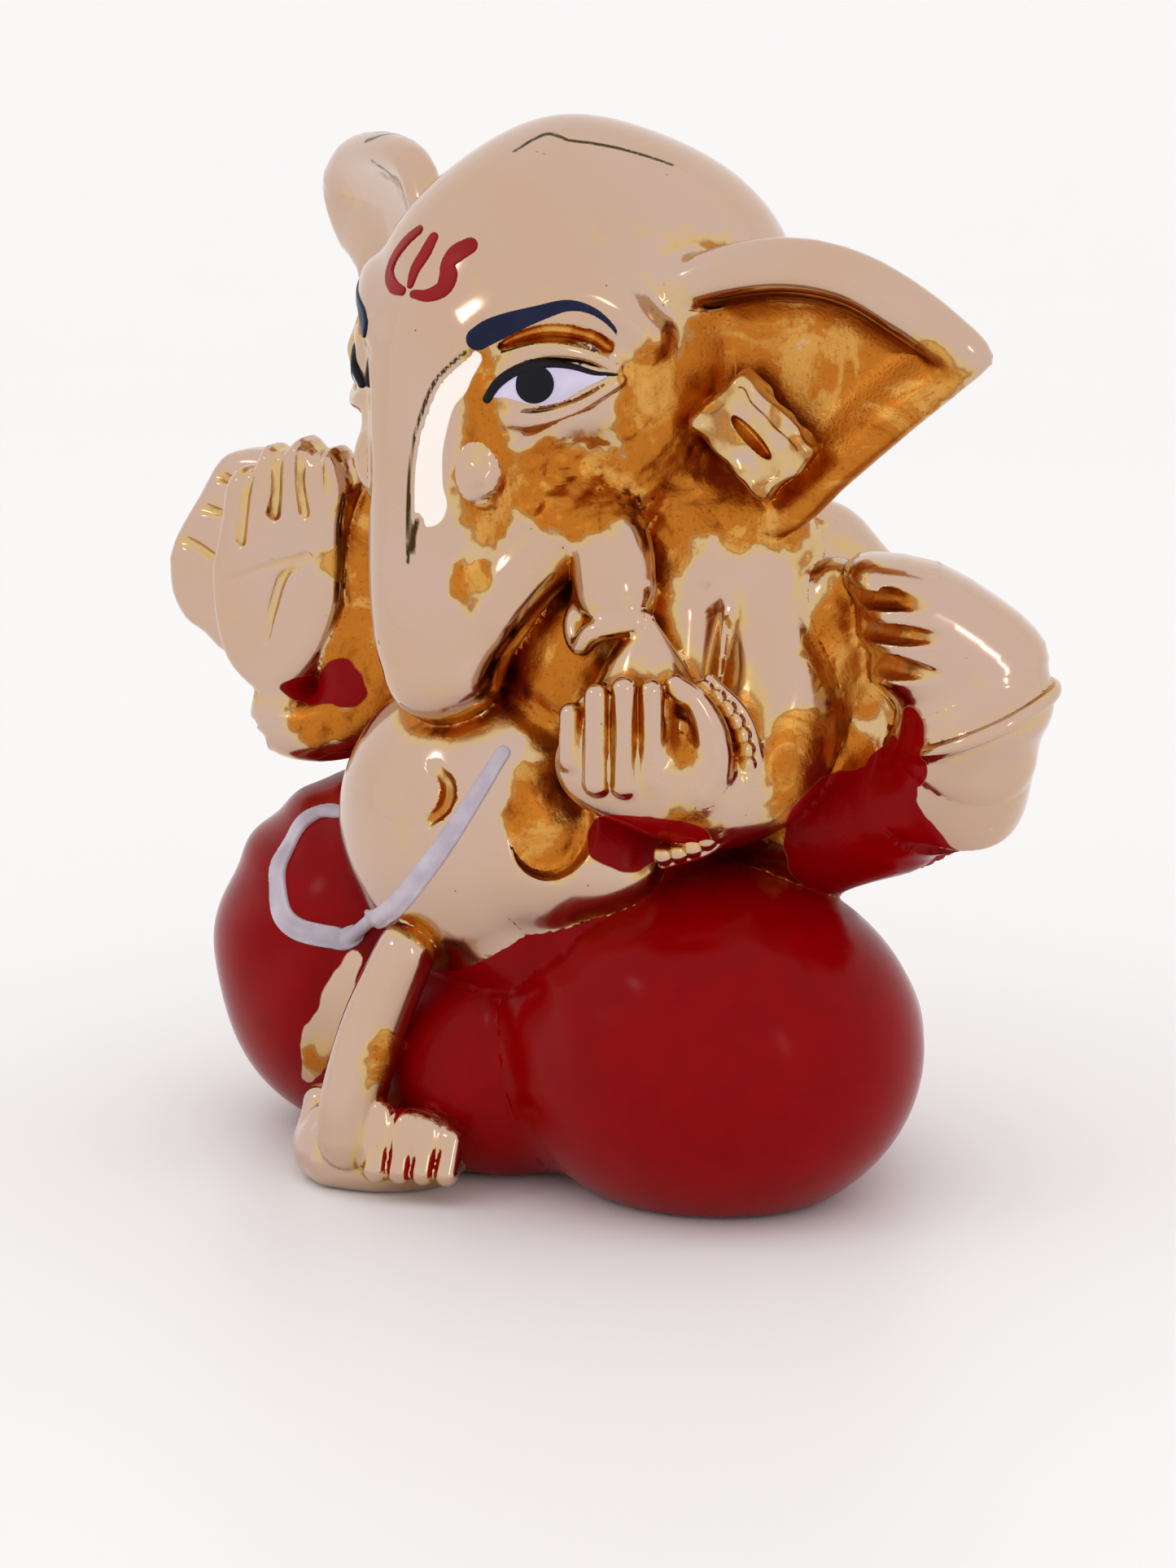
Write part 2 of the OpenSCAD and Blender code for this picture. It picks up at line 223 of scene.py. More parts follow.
DISH = [(10.5, 57), (13.5, 61), (18, 62.2), (22, 61.5), (25.6, 59.6), (30, 57.6), (26.4, 52.8),
        (21.8, 48), (19, 45.4), (15.5, 45.4), (12, 48), (10, 52)]
# Paths of the trunk, its curl and the limbs: each row is x, y, z, radius
TRUNK = [(0, -9.5, 56, 8), (0, -12.3, 50, 7), (0, -14.6, 44, 5.3), (0.6, -15.8, 39.8, 4.6),
         (1.2, -16, 37.1, 4.2)]
CURL = [(2, -15.8, 37.4, 3), (4.2, -14.8, 40.6, 2.9), (6.4, -13, 43.9, 2.6), (8.6, -11.2, 46.3, 2.8),
        (11, -10.4, 45.8, 2.9), (12.6, -11.2, 42.8, 2.8)]
LEFT_FRONT = [(14.5, 1, 43.5, 5), (18.5, -1, 36, 4.8), (19, -4, 31, 4.6), (18, -7.5, 29.5, 4.3),
              (16.8, -10.5, 30.5, 4.2)]
LEFT_REAR = [(15, 6, 42, 5.5), (22.5, 7, 34.5, 5.6), (27.5, 5.4, 28.8, 5.5), (30.5, 4, 32.2, 5)]
ELBOW = [(15.5, 3, 22, 4.2), (19.4, 2.6, 25.4, 4.8), (24.5, 3.5, 27.2, 4.6)]
RIGHT_FRONT = [(-13, -1, 42, 4.5), (-14.5, -4.5, 34, 4), (-17.5, -7, 29.4, 2.8), (-21.6, -8.9, 28.9, 2.3),
               (-21.8, -8.6, 31.5, 2.2)]
RIGHT_REAR = [(-15, 6, 41, 5), (-22, 3, 37, 4.5), (-27.5, -1, 36, 3.4), (-30.5, -3.6, 36, 2.4)]
FOOT = [(-0.2, -18.6, 17, 2.1), (-1.8, -20, 12, 2.3), (-2.6, -21.3, 7, 2.3), (-2.7, -21.5, 4, 2.4)]

# Upper part of the furrow between the eye and the trunk
FURROW = [(5.6, -18, 57.6, 1.4), (5.8, -18.3, 54, 2.2), (5.9, -18.7, 50, 2.4)]
EYE_TURN = 52
PALM_TURN = 18
BAND_AT = (31.9, 4, 34.4)
BAND_TURN = (0, -24, FACING)
FOLD_X, FOLD_Y = 0.743, 0.669  # the way that the folds spread, across the camera's view


def head(p):
    """Skull and muzzle, with a face on both sides."""
    d = join(4, [blob(p, (0.5, -1.5, 55), (13.5, 14, 15.5)), blob(p, (0.5, -2.5, 63.5), (8.5, 9, 10)),
                 blob(p, (2.5, 3, 60.5), (11.3, 10.4, 10.6)), blob(p, (0.5, -8.5, 55), (9.5, 9.3, 12)),
                 blob(p, (0, -7.5, 61.5), (9, 8.5, 8.5))])
    face = (p[:, 1] < -3) & (p[:, 2] > 44) & (p[:, 2] < 66)
    if face.any():
        d[face] = features(d[face], both_sides(p[face]))
    return d


def both_sides(p):
    """Points with the right side folded over onto the left."""
    return p * np.where(p[:, :1] < 0, (-1, 1, 1), (1, 1, 1))


def features(d, q):
    """Brow, eye and cheek of one side, shared by both."""
    ridge = [(4.4, -15.8, 59.6, 1.0), (6.4, -14.2, 61.4, 1.2), (8.6, -11.9, 62.4, 1.2),
             (10.8, -9.6, 61.6, 1.1), (12.4, -7.6, 59.6, 0.9)]
    d = soft_min(d, limb(q, ridge), 2)
    socket = blob(q, (9.6, -16.2, 56.9), (6.0, 3.3, 4.0), (0, 0, EYE_TURN))
    cheek = blob(q, (10.6, -14.4, 50.6), (5.4, 3.8, 3.8), (0, 0, EYE_TURN))
    d = soft_max(soft_max(d, -socket, 1.2), -cheek, 2.0)
    eyeball = blob(q, (6.9, -13.2, 56.7), (4.6, 2.1, 2.3), (0, 0, EYE_TURN))
    d = soft_min(d, eyeball, 0.6)
    upper = [(5.2, -16.2, 55.8, 0.4), (6.5, -15.5, 58, 0.6), (8.2, -14, 58.9, 0.65), (10, -12, 58.7, 0.5),
             (11.6, -9.9, 57.6, 0.2)]
    lower = [(5.6, -16, 55, 0.35), (6.8, -15.5, 54.5, 0.5), (8.4, -14.4, 54.3, 0.6),
             (10.2, -12.2, 55.2, 0.45), (11.8, -9.8, 56.8, 0.3)]
    d = join(0.4, [d, limb(q, upper), limb(q, lower)])
    fold = [(5, -16.4, 57.4, 0.25), (6.3, -15.4, 59.3, 0.4), (8.3, -13.2, 60.2, 0.5),
            (10, -11.1, 59.8, 0.45), (11, -10.2, 59, 0.3)]
    pocket = [(6.4, -16.1, 53.7, 0.4), (8.2, -14.9, 53.2, 0.5), (10, -12.7, 53.9, 0.35)]
    d = carve(d, [limb(q, fold), limb(q, pocket)], 0.5)
    return soft_max(d, -limb(q, FURROW + [(6.6, -18.2, 46.4, 2.2)]), 0.9)


def trunk(p):
    """Trunk with its curl, lip and nostril."""
    d = soft_min(limb(p, TRUNK), limb(p, CURL), 1.2)
    lip = limb(p, [(11, -11.8, 42.6, 1), (10.4, -12.6, 40.6, 1), (11.4, -13.4, 39.3, 0.8),
                   (13, -13.6, 40.4, 0.8), (15, -12, 41, 0.9)])
    d = soft_min(d, lip, 0.7)
    furrow = limb(both_sides(p), FURROW + [(6.6, -18.2, 46.4, 1.9)])
    holes = [limb(p, [(12, -13.3, 40.9, 0.4), (14.4, -12.9, 41.2, 0.1)]),
             blob(p, (12.6, -12, 39.4), (0.9, 0.9, 1.2))]
    return soft_max(carve(d, holes, 0.4), -furrow, 0.9)


def tusk(p, side):
    """Stub of a tusk, hardly proud of the cheek."""
    return blob(p, (side * 5.1, -16.7, 50.6), (0.85, 0.85, 1.4))


def ear(p, side, points, rim, depth):
    """Plate dished to the given depth, with rounded edges and a rolled rim along its top."""
    half, rounding, lip, slope_width = 1.1, 1.0, 0.8, 5.0
    q = p * (side, 1, 1) - (0, EAR_ROOT_Y, 0)
    out, up, front = q @ EAR_U, q[:, 2], q @ EAR_N
    flat = outline(out, up, [(x * EAR_STRETCH, z) for x, z in smooth(points + points[:1], 2)[:-1]])
    sunk = np.clip((-flat - lip) / slope_width, 0, 1)
    sunk = depth * sunk * sunk * (3 - 2 * sunk)
    x, y = flat + rounding, np.abs(front + sunk) - half + rounding
    body = np.minimum(np.maximum(x, y), 0) + np.hypot(np.maximum(x, 0), np.maximum(y, 0)) - rounding
    rolled = limb(np.stack([out, front, up], 1), [(a * EAR_STRETCH, 0.1, b, r) for a, b, r in rim], 4)
    return soft_min(body, rolled, 0.9)


def stud(p, side, z):
    """Slanted ear stud with a sunk middle and a leaf-shaped slit."""
    q = ((p - (side * 17.5, -2.6, z)) * (side, 1, 1)) @ turned(0, 0, 27) @ turned(0, 46, 0)
    half_long, half_wide, half_thick = 3.8, 2.7, 1.6
    long, wide = np.abs(q[:, 0]) - half_long, np.abs(q[:, 2]) - half_wide
    flat = soft_max(long, wide, 0.6) + 0.5 * (noise(p, 1.1, 8) - 0.5)
    plate = soft_max(flat, np.abs(q[:, 1]) - half_thick, 0.8)
    sunk = soft_max(flat + 0.9, np.abs(q[:, 1] + 1.9) - 0.5, 0.3)
    slit = blob(q, (0, -1.3, 0), (1.9, 1.1, 0.45))
    return carve(plate, [sunk, slit], 0.25)


def torso(p):
    """Chest, waist, shoulder, and the metal between the trunk and the left arm."""
    return join(2.5, [blob(p, (0, 4, 34), (15.5, 11.5, 16)), blob(p, (2, -4, 18), (15, 12, 8)),
                      blob(p, (11.5, -2, 40.5), (5.5, 5.5, 9)), blob(p, (6.4, -7.6, 37), (5.6, 5.4, 6.4)),
                      limb(p, [(14, -6.4, 40.5, 2.8), (14.6, -7.4, 34, 3)])])


def belly(p):
    """Belly with the slit of its navel."""
    d = blob(p, (0, -10.6, 25), (11, 9.5, 11))
    navel = [(2.6, -18.6, 30.6, 0.25), (3.8, -18.4, 29.4, 0.5), (3.9, -18.8, 28, 0.5),
             (3, -19.6, 26.8, 0.25)]
    return soft_max(d, -limb(p, navel), 0.4)


def left_flank(p):
    """Hip with a rounded pocket beside the belly."""
    side = limb(p, [(11.6, -8, 28, 2.4), (12.4, -10.4, 23.4, 2.4)])
    hip = soft_min(blob(p, (6.4, -9.4, 24), (7, 8.4, 6.6)), side, 2)
    return soft_max(hip, -blob(p, (10.6, -15.6, 28), (3.3, 3.6, 4.6), (0, 0, 20)), 0.5)


def hand(p, at, turn, palm, fingers, thumb, web):
    """Palm, fingers as rows of x, y, foot, tip and radius, and a thumb, joined by a thin web."""
    q = (p - np.asarray(at, float)) @ turned(*turn)
    digits = [limb(q, [(x, y, low, r), (x, y - 0.1, tip - r, r * 0.94)]) for x, y, low, tip, r in fingers]
    digits.append(limb(q, thumb))
    flesh = soft_min(blob(q, (0, 0, -0.12 * palm[2]), palm), blob(q, *web), 1)
    return soft_min(flesh, join(0.2, digits), 0.4), q


def left_rear_arm(p):
    """Bent arm with a full wrist under the band and a web of metal towards the front arm."""
    arm = join(2, [limb(p, LEFT_REAR), limb(p, ELBOW), blob(p, (21.2, 1.6, 37), (3, 3.4, 7.5))])
    return soft_min(arm, blob(p, BAND_AT, (5.1, 5.1, 3.4), BAND_TURN), 1)


def right_front_arm(p):
    """Arm with the rough web of metal that ties the raised hand to it."""
    web = soft_min(blob(p, (-15.5, -5.6, 39.5), (2.3, 2.6, 7.4)),
                   blob(p, (-17, -6.6, 34), (3, 2.4, 4.4)), 1)
    return soft_min(limb(p, RIGHT_FRONT), web, 1)


def mitten(p, at, turn, points, half, slots):
    """Raised hand: a soft-edged slab with slots, rows of x, z, radius, down both faces."""
    q = (p - np.asarray(at, float)) @ turned(0, 0, turn)
    flat = outline(q[:, 0], q[:, 2], smooth(points + points[:1], 3)[:-1])
    slab = soft_max(flat, np.abs(q[:, 1]) - half, 1.8)
    q = q * np.where(q[:, 1:2] > 0, (1, -1, 1), (1, 1, 1))
    return carve(slab, [limb(q, [(x, -half - 0.05, z, r) for x, z, r in slot]) for slot in slots], 0.35)


def right_front_hand(p):
    points = [(-5.7, 2.7), (-5.5, -0.7), (-4.6, -3.8), (-2.8, -5.7), (-0.8, -6.5), (1.4, -5.5), (3.6, -3),
              (4.9, -0.1), (5.3, 3), (5.4, 6.6), (5.8, 9), (5.4, 10.5), (4.1, 12), (2.9, 11.6),
              (1.6, 12.6), (0.1, 11.5), (-1.2, 11.9), (-2.3, 10.1), (-3.4, 10.2), (-4.4, 8.9),
              (-4.8, 6.6)]
    slots = [[(0.2, 12.4, 0.45), (0.2, 9, 0.4), (-0.1, 7.2, 0.55)],
             [(2.3, 12.4, 0.45), (2.1, 9.7, 0.35), (2.4, 7.4, 0.4)], [(4.3, 11.4, 0.35), (4.3, 8.9, 0.2)],
             [(-2, 10.8, 0.45), (-2.4, 7.7, 0.35), (-2.8, 5, 0.4)],
             [(2.8, 4.2, 0.2), (0.8, 2.9, 0.35), (-0.2, 0.4, 0.35), (-0.8, -2.1, 0.2)],
             [(-3.4, 2.2, 0.12), (-0.5, 3.3, 0.2), (2.6, 4.3, 0.2)]]
    return mitten(p, (-21.3, -8.6, 37.4), PALM_TURN, points, 2.3, slots)


def right_rear_hand(p):
    points = [(-3.2, 1.7), (-3, -0.9), (-1.9, -2.9), (-0.3, -3.9), (1.5, -5.3), (4.5, -5.6), (6.6, -3),
              (7, 2), (6.9, 7.2), (6, 9.8), (4.4, 10.2), (2.7, 10), (1.3, 9.4), (0.1, 7.7), (-0.6, 6.5),
              (-1.8, 4.7), (-2.7, 3.1)]
    slots = [[(0.3, 8.7, 0.5), (2.4, 8, 0.4), (4, 7.8, 0.25)],
             [(-1.6, 6, 0.5), (0.4, 5.7, 0.4), (2.4, 5.3, 0.25)],
             [(-3, 3.4, 0.5), (-0.6, 2.9, 0.4), (1.6, 1.8, 0.3)]]
    return mitten(p, (-33.2, -4.8, 37.6), PALM_TURN, points, 2.1, slots)


def left_front_hand(p):
    """Cupped hand, fingers upright in front of the sweet."""
    fingers = [(-4.7, -1.2, 0, 3.9, 0.85), (-3, -2.2, -1.4, 5.4, 0.9), (-1.2, -2.5, -1.4, 5.9, 0.92),
               (0.6, -2.4, -1, 5.7, 0.9)]
    thumb = [(2.2, -2, 5.1, 0.8), (3.6, -2, 3.9, 1), (4.5, -1.9, 2, 1.25), (4.7, -1.8, 0, 1.35),
             (3.8, -1.7, -1.8, 1.5)]
    d, q = hand(p, (16, -12.4, 32.2), (0, 0, FACING), (5.8, 2.8, 4.2), fingers, thumb,
                ((-1.4, -0.6, 1.8), (3.8, 1.4, 3.2)))
    slots = [limb(q, [(x, -3, 4.6, 0.1), (x, -3.3, 1.8, 0.27), (x, -3.1, -1.9, 0.05)])
             for x in (-3.9, -2.1, -0.3)]
    return carve(d, slots + [blob(q, (2.6, -3, 1.6), (0.95, 1.7, 2.4))], 0.3)


def left_rear_hand(p):
    """Fist closed towards the arm: a soft-edged block with three wedges between the fingers."""
    half, rounding = 5.2, 5
    q = (p - (30.4, 4, 38.9)) @ turned(0, 0, FACING)
    points = [(-8.1, 5.4), (-7.5, 6.1), (-6.1, 6.5), (-1.7, 5.8), (2.4, 3.4), (4.8, 1.4), (5.7, -0.4),
              (5.2, -3.4), (3.1, -5.9), (-0.2, -6.7), (-2.9, -5.6), (-4.9, -3.3), (-6.2, -2.1),
              (-6.2, -0.5), (-7, 0.9), (-7.2, 2.9), (-8, 4.2)]
    flat = outline(q[:, 0], q[:, 2], smooth(points + points[:1], 2)[:-1])
    block = soft_max(flat, np.abs(q[:, 1] - 0.5) - half, rounding)
    ends = ((-8.2, 4.2, -1.7, 3.9), (-7.2, 1.9, -1.9, 1.6), (-6.6, -0.4, -2, -0.9))
    wedges = [limb(q, [(x0, -0.4, z0, 1), ((x0 + x1) / 2, -3.7, (z0 + z1) / 2, 0.7),
                       (x1, -4.9, z1, 0.3)]) for x0, z0, x1, z1 in ends]
    return carve(block, wedges, 0.4)


def modak(p):
    """Sweet with a pointed top."""
    return limb(p, [(15.2, -11.2, 36.6, 3.5), (15.3, -11.3, 38.8, 2.3), (15.5, -11.4, 41.2, 0.6)])


def beads(p):
    """Part of a ring of beads inside a raised edge."""
    ring, bead, edge_ring, edge, first, apart, count = 6.1, 0.72, 6.85, 0.4, 58, 9.5, 16
    q = (p - (17, -12.2, 31.6)) @ turned(0, 0, FACING)
    angles = np.radians(first - apart * np.arange(count))
    rows = [(ring * math.cos(a), 0, ring * math.sin(a)) for a in angles]
    beading = np.minimum.reduce([np.linalg.norm(q - row, axis=1) - bead for row in rows])
    rail = [(edge_ring * math.cos(a), 0.3, edge_ring * math.sin(a), edge) for a in angles[::3]]
    return soft_min(beading, limb(q, rail), 0.2)


def band(p):
    """Plain ring round the wrist."""
    ring, wire = 5.3, 0.52
    q = (p - BAND_AT) @ turned(*BAND_TURN)
    return np.hypot(np.hypot(q[:, 0], q[:, 1]) - ring, q[:, 2]) - wire


def above_floor(d, p):
    """Field cut off softly at the floor."""
    return soft_max(d, -p[:, 2], 0.6)


def folds(p, at, count, phase, grow, reach_out, spread):
    """Ripple of cloth that fans out from a place, as the camera sees it."""
    across, up = (p[:, 0] - at[0]) * FOLD_X + (p[:, 1] - at[1]) * FOLD_Y, p[:, 2] - at[2]
    away = np.hypot(across, up)
    near, far = np.clip((away - 2) / grow, 0, 1), np.clip(reach_out - away / spread, 0, 1)
    return np.sin(count * np.arctan2(up, across) + phase) * near * far


def left_leg(p):
    """Knee with faint folds of cloth towards the foot."""
    fan = folds(p, (5, -14, 20), 9, 0, 5, 1.2, 20) * np.clip((2 - p[:, 1]) / 6, 0, 1)
    return above_floor(blob(p, (14.5, -3.6, 10.4), (15.5, 14, 12.6)) + 0.14 * fan, p)


def right_leg(p):
    """Knee with soft folds of cloth that fan out from the thread."""
    fan = folds(p, (-9.5, -17, 19), 8, 0.8, 4, 1.5, 16) * np.clip((-4 - p[:, 1]) / 6, 0, 1)
    return above_floor(blob(p, (-14.5, -4.5, 12.3), (13.3, 13.6, 13.8)) + 0.2 * fan, p)


def seat(p):
    """Hips and the back of the dhoti."""
    hips, front = blob(p, (0, 5, 9), (24, 15, 12)), blob(p, (0, -8, 8), (10, 10.5, 9))
    return above_floor(soft_min(hips, front, 3), p)


def left_foot(p):
    """Shin and foot, with four toes in a row."""
    across, back = 1.5, 0.75
    toes = [limb(p, [(-0.2 + across * i, -20.9 + back * i, 6 - 0.5 * i, 0.8),
                     (0.1 + across * i, -21.9 + back * i, 2.3, 0.95 - 0.04 * i)]) for i in range(4)]
    web = blob(p, (1.4, -19.3, 4.2), (3.4, 1.7, 2.2), (0, 0, 28))
    foot = soft_min(limb(p, FOOT), web, 1)
    return above_floor(soft_min(foot, join(0.25, toes), 0.6), p)


def right_foot(p):
    """Sole turned up beside the left foot, with three toes."""
    sole = blob(p, (-4, -17.2, 2), (6.4, 5.6, 3.4), (0, 0, 20))
    toes = [limb(p, [(-8.6, -18.4, 4.7, 1.4), (-8.2, -19, 1.8, 1.9)]),
            limb(p, [(-7, -19.6, 4, 1.3), (-6.6, -20.2, 1.7, 1.8)]),
            limb(p, [(-5.4, -20.6, 3.4, 1.2), (-4.8, -21.2, 1.6, 1.6)])]
    return above_floor(soft_min(sole, join(0.2, toes), 0.7), p)


FORMS = {"head": head, "trunk": trunk, "left_tusk": lambda p: tusk(p, 1),
         "right_tusk": lambda p: tusk(p, -1), "left_ear": lambda p: ear(p, 1, LEFT_EAR, LEFT_RIM, 2.6),
         "right_ear": lambda p: ear(p, -1, RIGHT_EAR, RIGHT_RIM, 1.2),
         "left_ear_stud": lambda p: stud(p, 1, 52.9), "right_ear_stud": lambda p: stud(p, -1, 56.4),
         "torso": torso, "belly": belly, "left_flank": left_flank,
         "left_front_arm": lambda p: limb(p, LEFT_FRONT), "left_front_hand": left_front_hand,
         "left_rear_arm": left_rear_arm, "left_rear_hand": left_rear_hand,
         "right_front_arm": right_front_arm, "right_front_hand": right_front_hand,
         "right_rear_arm": lambda p: limb(p, RIGHT_REAR), "right_rear_hand": right_rear_hand,
         "beaded_bracelet": beads, "wrist_band": band, "modak": modak, "seat": seat, "left_leg": left_leg,
         "right_leg": right_leg, "left_foot": left_foot, "right_foot": right_foot}
# How the parts run into each other: the width of the blend, then what it joins
WHOLE = (0.3,
         (1.0, (1.8, (2.6, "head", "trunk"), "left_tusk", "right_tusk"), "left_ear", "right_ear"),
         (0.8, (1.2, "torso", "belly"), "left_flank",
          (1.0, "left_front_arm", "left_front_hand"), (1.0, "left_rear_arm", "left_rear_hand"),
          (0.4, "right_front_arm", "right_front_hand"), (1.0, "right_rear_arm", "right_rear_hand")),
         (2.2, "seat", "left_leg", "right_leg"),
         (0.25, "left_foot", "right_foot"), "left_ear_stud", "right_ear_stud",
         "beaded_bracelet", "wrist_band", "modak")

ROOM = 3.2  # mm round a form's box past which its blends don't reach


def form_boxes():
    """Box of each form with room for its blends, found on a coarse grid of the whole figure."""
    pitch = 2.5
    lo, hi = np.array(cad_lo) / UNIT - 6, np.array(cad_hi) / UNIT + 6
    axes = [np.arange(a, b, pitch) for a, b in zip(lo, hi)]
    grid = np.stack(np.meshgrid(*axes, indexing="ij"), -1).reshape(-1, 3)
    boxes = {}
    for name, form in FORMS.items():
        near = grid[form(grid) < pitch * 0.9]
        boxes[name] = (near.min(0) - ROOM, near.max(0) + ROOM)
    return boxes


BOXES = form_boxes()


def form_at(name, p):
    """Form of a part: exact in its box, and a safe lower bound outside it."""
    lo, hi = BOXES[name]
    gap = np.maximum(np.maximum(lo - p, p - hi), 0)
    d = ROOM + np.sqrt((gap * gap).sum(1))
    near = d == ROOM
    if near.any():
        d[near] = FORMS[name](p[near])
    return d


def blended(tree, fields):
    """One field from the parts' fields, joined as the tree says."""
    if isinstance(tree, str):
        return fields.get(tree)
    parts = [f for f in (blended(t, fields) for t in tree[1:]) if f is not None]
    return join(tree[0], parts) if parts else None


# Rough cast hollows where the plating is amber: middle, half sizes and turn of each
AMBER = [((12.6, -7.4, 54), (2.6, 3.6, 5.2), 50), ((9.8, -12, 49.8), (4.8, 4.8, 3.2), 52),
         ((5.6, -16.8, 55.4), (1.2, 2, 3.4), 0), ((5.9, -16.8, 49.8), (1.6, 2.2, 4.6), 0),
         ((13, -4.5, 49.5), (3.4, 5, 4.2), 30), ((8, -10, 36), (4.6, 5.4, 5.4), 0),
         ((12.8, -6, 43), (2.2, 4.4, 5.4), 0), ((22, -2, 30), (4, 5.4, 5.6), 0),
         ((23.4, 1, 38), (2.2, 4, 5), 0), ((-12.4, -6.4, 41), (4.4, 4.8, 8), 0),
         ((-16.8, -6.6, 39.5), (1.4, 2.2, 8.4), 18), ((-17, -7, 30), (3.4, 4.4, 2.4), 0),
         ((-14.6, -7, 33.4), (3.2, 3.4, 4.2), 0), ((9.4, -14, 27.2), (3, 3.2, 4), 20),
         ((20.4, -12.6, 27.4), (1.6, 2, 1.6), 0), ((19.8, -12.6, 33.9), (1, 1.4, 2.2), 42),
         ((0.4, -21, 10), (1.3, 2, 2), 0), ((-11.2, -16.8, 7.2), (1.1, 1.4, 1.4), 0),
         ((3.7, -15.8, 43.4), (1.6, 2.6, 1.8), 0), ((26, -1.6, 41), (1.6, 3, 4.4), 42)]


def amber(p):
    """How far inside a rough hollow a point is, in mm."""
    d = np.full(len(p), -9.0)
    for at, r, turn in AMBER:
        m = np.abs(p - at).max(1) < max(r) + 2
        if m.any():
            d[m] = np.maximum(d[m], -blob(p[m], at, r, (0, 0, turn)))
    return d


def dish(p, normal):
    """How far inside the dish of the left ear a point is, in mm, on the side that faces forwards."""
    q = p - (0, EAR_ROOT_Y, 0)
    d = np.full(len(p), -9.0)
    m = (np.abs(q @ EAR_N) < 4.5) & (p[:, 0] > 8) & (p[:, 2] > 43)
    if m.any():
        inside = -outline(q[m] @ EAR_U, q[m][:, 2], [(x * EAR_STRETCH, z) for x, z in DISH])
        d[m] = np.minimum(inside, 5 * (normal[m] @ EAR_N) - 0.5)
    return d


def ragged(p):
    """Wander of a brushed or worn edge, in mm."""
    return (1.5 * (noise(p, 2.6, 11) - 0.5) + 1.0 * (noise(p, 1.1, 12) - 0.5)
            + 0.6 * (noise(p, 0.5, 13) - 0.5))


def grit(p):
    """Cast roughness of the amber hollows."""
    d = np.zeros(len(p))
    depth = amber(p)
    m = depth > 0
    if m.any():
        q, fade = p[m], np.clip(depth[m] / 1.2, 0, 1)
        fade *= 0.25 + 0.75 * np.clip((14 - q[:, 0]) / 3, 0, 1) * np.clip((q[:, 2] - 44) / 3, 0, 1)
        d[m] = fade * (0.55 * (noise(q, 1.7, 1) - 0.5) + 0.3 * (noise(q, 0.7, 2) - 0.5))
    return d


def reach(name):
    """Box of a part in drawn mm, with room for its blends."""
    lo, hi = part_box(name)
    room = 2.5
    return np.array(lo) / UNIT - room, np.array(hi) / UNIT + room


def neighbours(lo, hi, room=3.5):
    """Names of the forms that can shape the figure inside a box."""
    boxes = {n: reach(n) for n in FORMS}
    return [n for n, (a, b) in boxes.items() if (a < hi + room).all() and (b > lo - room).all()]


def cast(p, fields):
    """The whole figure: all its forms blended, rough in the hollows and flat underneath."""
    return soft_max(blended(WHOLE, fields) + grit(p), -p[:, 2], 0.3)


def whole(p, names):
    """Field of the whole figure near the named forms."""
    return cast(p, {n: form_at(n, p) for n in names})


def piece_field(name, names):
    """The blended figure as far as a part goes. Past its edge it dips under its neighbours, then ends."""
    dip, margin = 0.35, 0.9

    def field(p):
        fields = {n: form_at(n, p) for n in names}
        total = cast(p, fields)
        others = [f for n, f in fields.items() if n != name]
        past = fields[name] - np.minimum.reduce(others) if others else np.full(len(p), -9.0)
        return soft_max(total + dip * np.maximum(past, 0), past - margin, 0.1)
    return field


# -------- painted films on the surface

# Brush strokes: each row is x, y, z, radius
BROW = [(5.4, -17, 59.7, 0.78), (6.1, -16.5, 60.2, 0.85), (7.2, -15.6, 60.8, 0.75),
        (8.5, -14.4, 61.4, 0.55), (9.7, -12.9, 61.9, 0.4), (10.7, -11.7, 61.6, 0.28),
        (11.4, -10.6, 60.7, 0.18), (11.9, -9.5, 59.2, 0.08)]
LASH = [(5.9, -16.6, 55.7, 0.3), (6.7, -16.4, 56.8, 0.36), (7.5, -15.5, 57.6, 0.36),
        (8.5, -14.1, 58, 0.32), (9.6, -12.4, 57.8, 0.25), (10.6, -11.1, 57.3, 0.18),
        (11.6, -10, 57.2, 0.1)]
TILAK = [[(-1.8, -15.1, 66.3, 0.42), (-2.8, -15.4, 65.5, 0.5), (-3.6, -15.7, 64.3, 0.5),
          (-3.6, -16.1, 63.3, 0.5), (-2.6, -16.7, 62.6, 0.5), (-1.5, -17, 62.4, 0.35)],
         [(0, -15.6, 66, 0.42), (-0.2, -16.1, 65, 0.52), (-0.7, -16.6, 63.9, 0.46),
          (-0.8, -17, 62.9, 0.3)],
         [(3.1, -15.3, 65.6, 0.62), (2.4, -15.8, 65.1, 0.7), (2, -16.2, 64.4, 0.55),
          (2.3, -16.5, 63.6, 0.7), (2.1, -16.9, 62.8, 0.6), (1, -17.2, 62.3, 0.45),
          (-0.3, -17.2, 62.3, 0.3)]]
THREAD = [(6.5, -15.8, 31.6, 0.5), (5.8, -18.1, 28.5, 0.6), (3.7, -19.5, 24.6, 0.7),
          (-0.3, -19.3, 20.5, 0.75), (-5, -18, 17.8, 0.75), (-9.4, -16.4, 16.2, 0.8),
          (-13.2, -17.3, 17, 0.8), (-15.6, -15.6, 20.4, 0.75), (-15.2, -12.1, 23.6, 0.7),
          (-12.4, -12.8, 25.2, 0.5)]
# Outline of the left eye in its own plane
EYE_AT = (7.9, -14, 57)
ALMOND = [(-3.1, -1.2), (-2.4, -0.2), (-1.3, 0.6), (0.3, 1), (2.3, 0.8), (4, 0.4), (4.8, 0.1),
          (3.3, -0.7), (2, -1.4), (0.3, -1.8), (-1.1, -1.5), (-2.1, -1.2)]


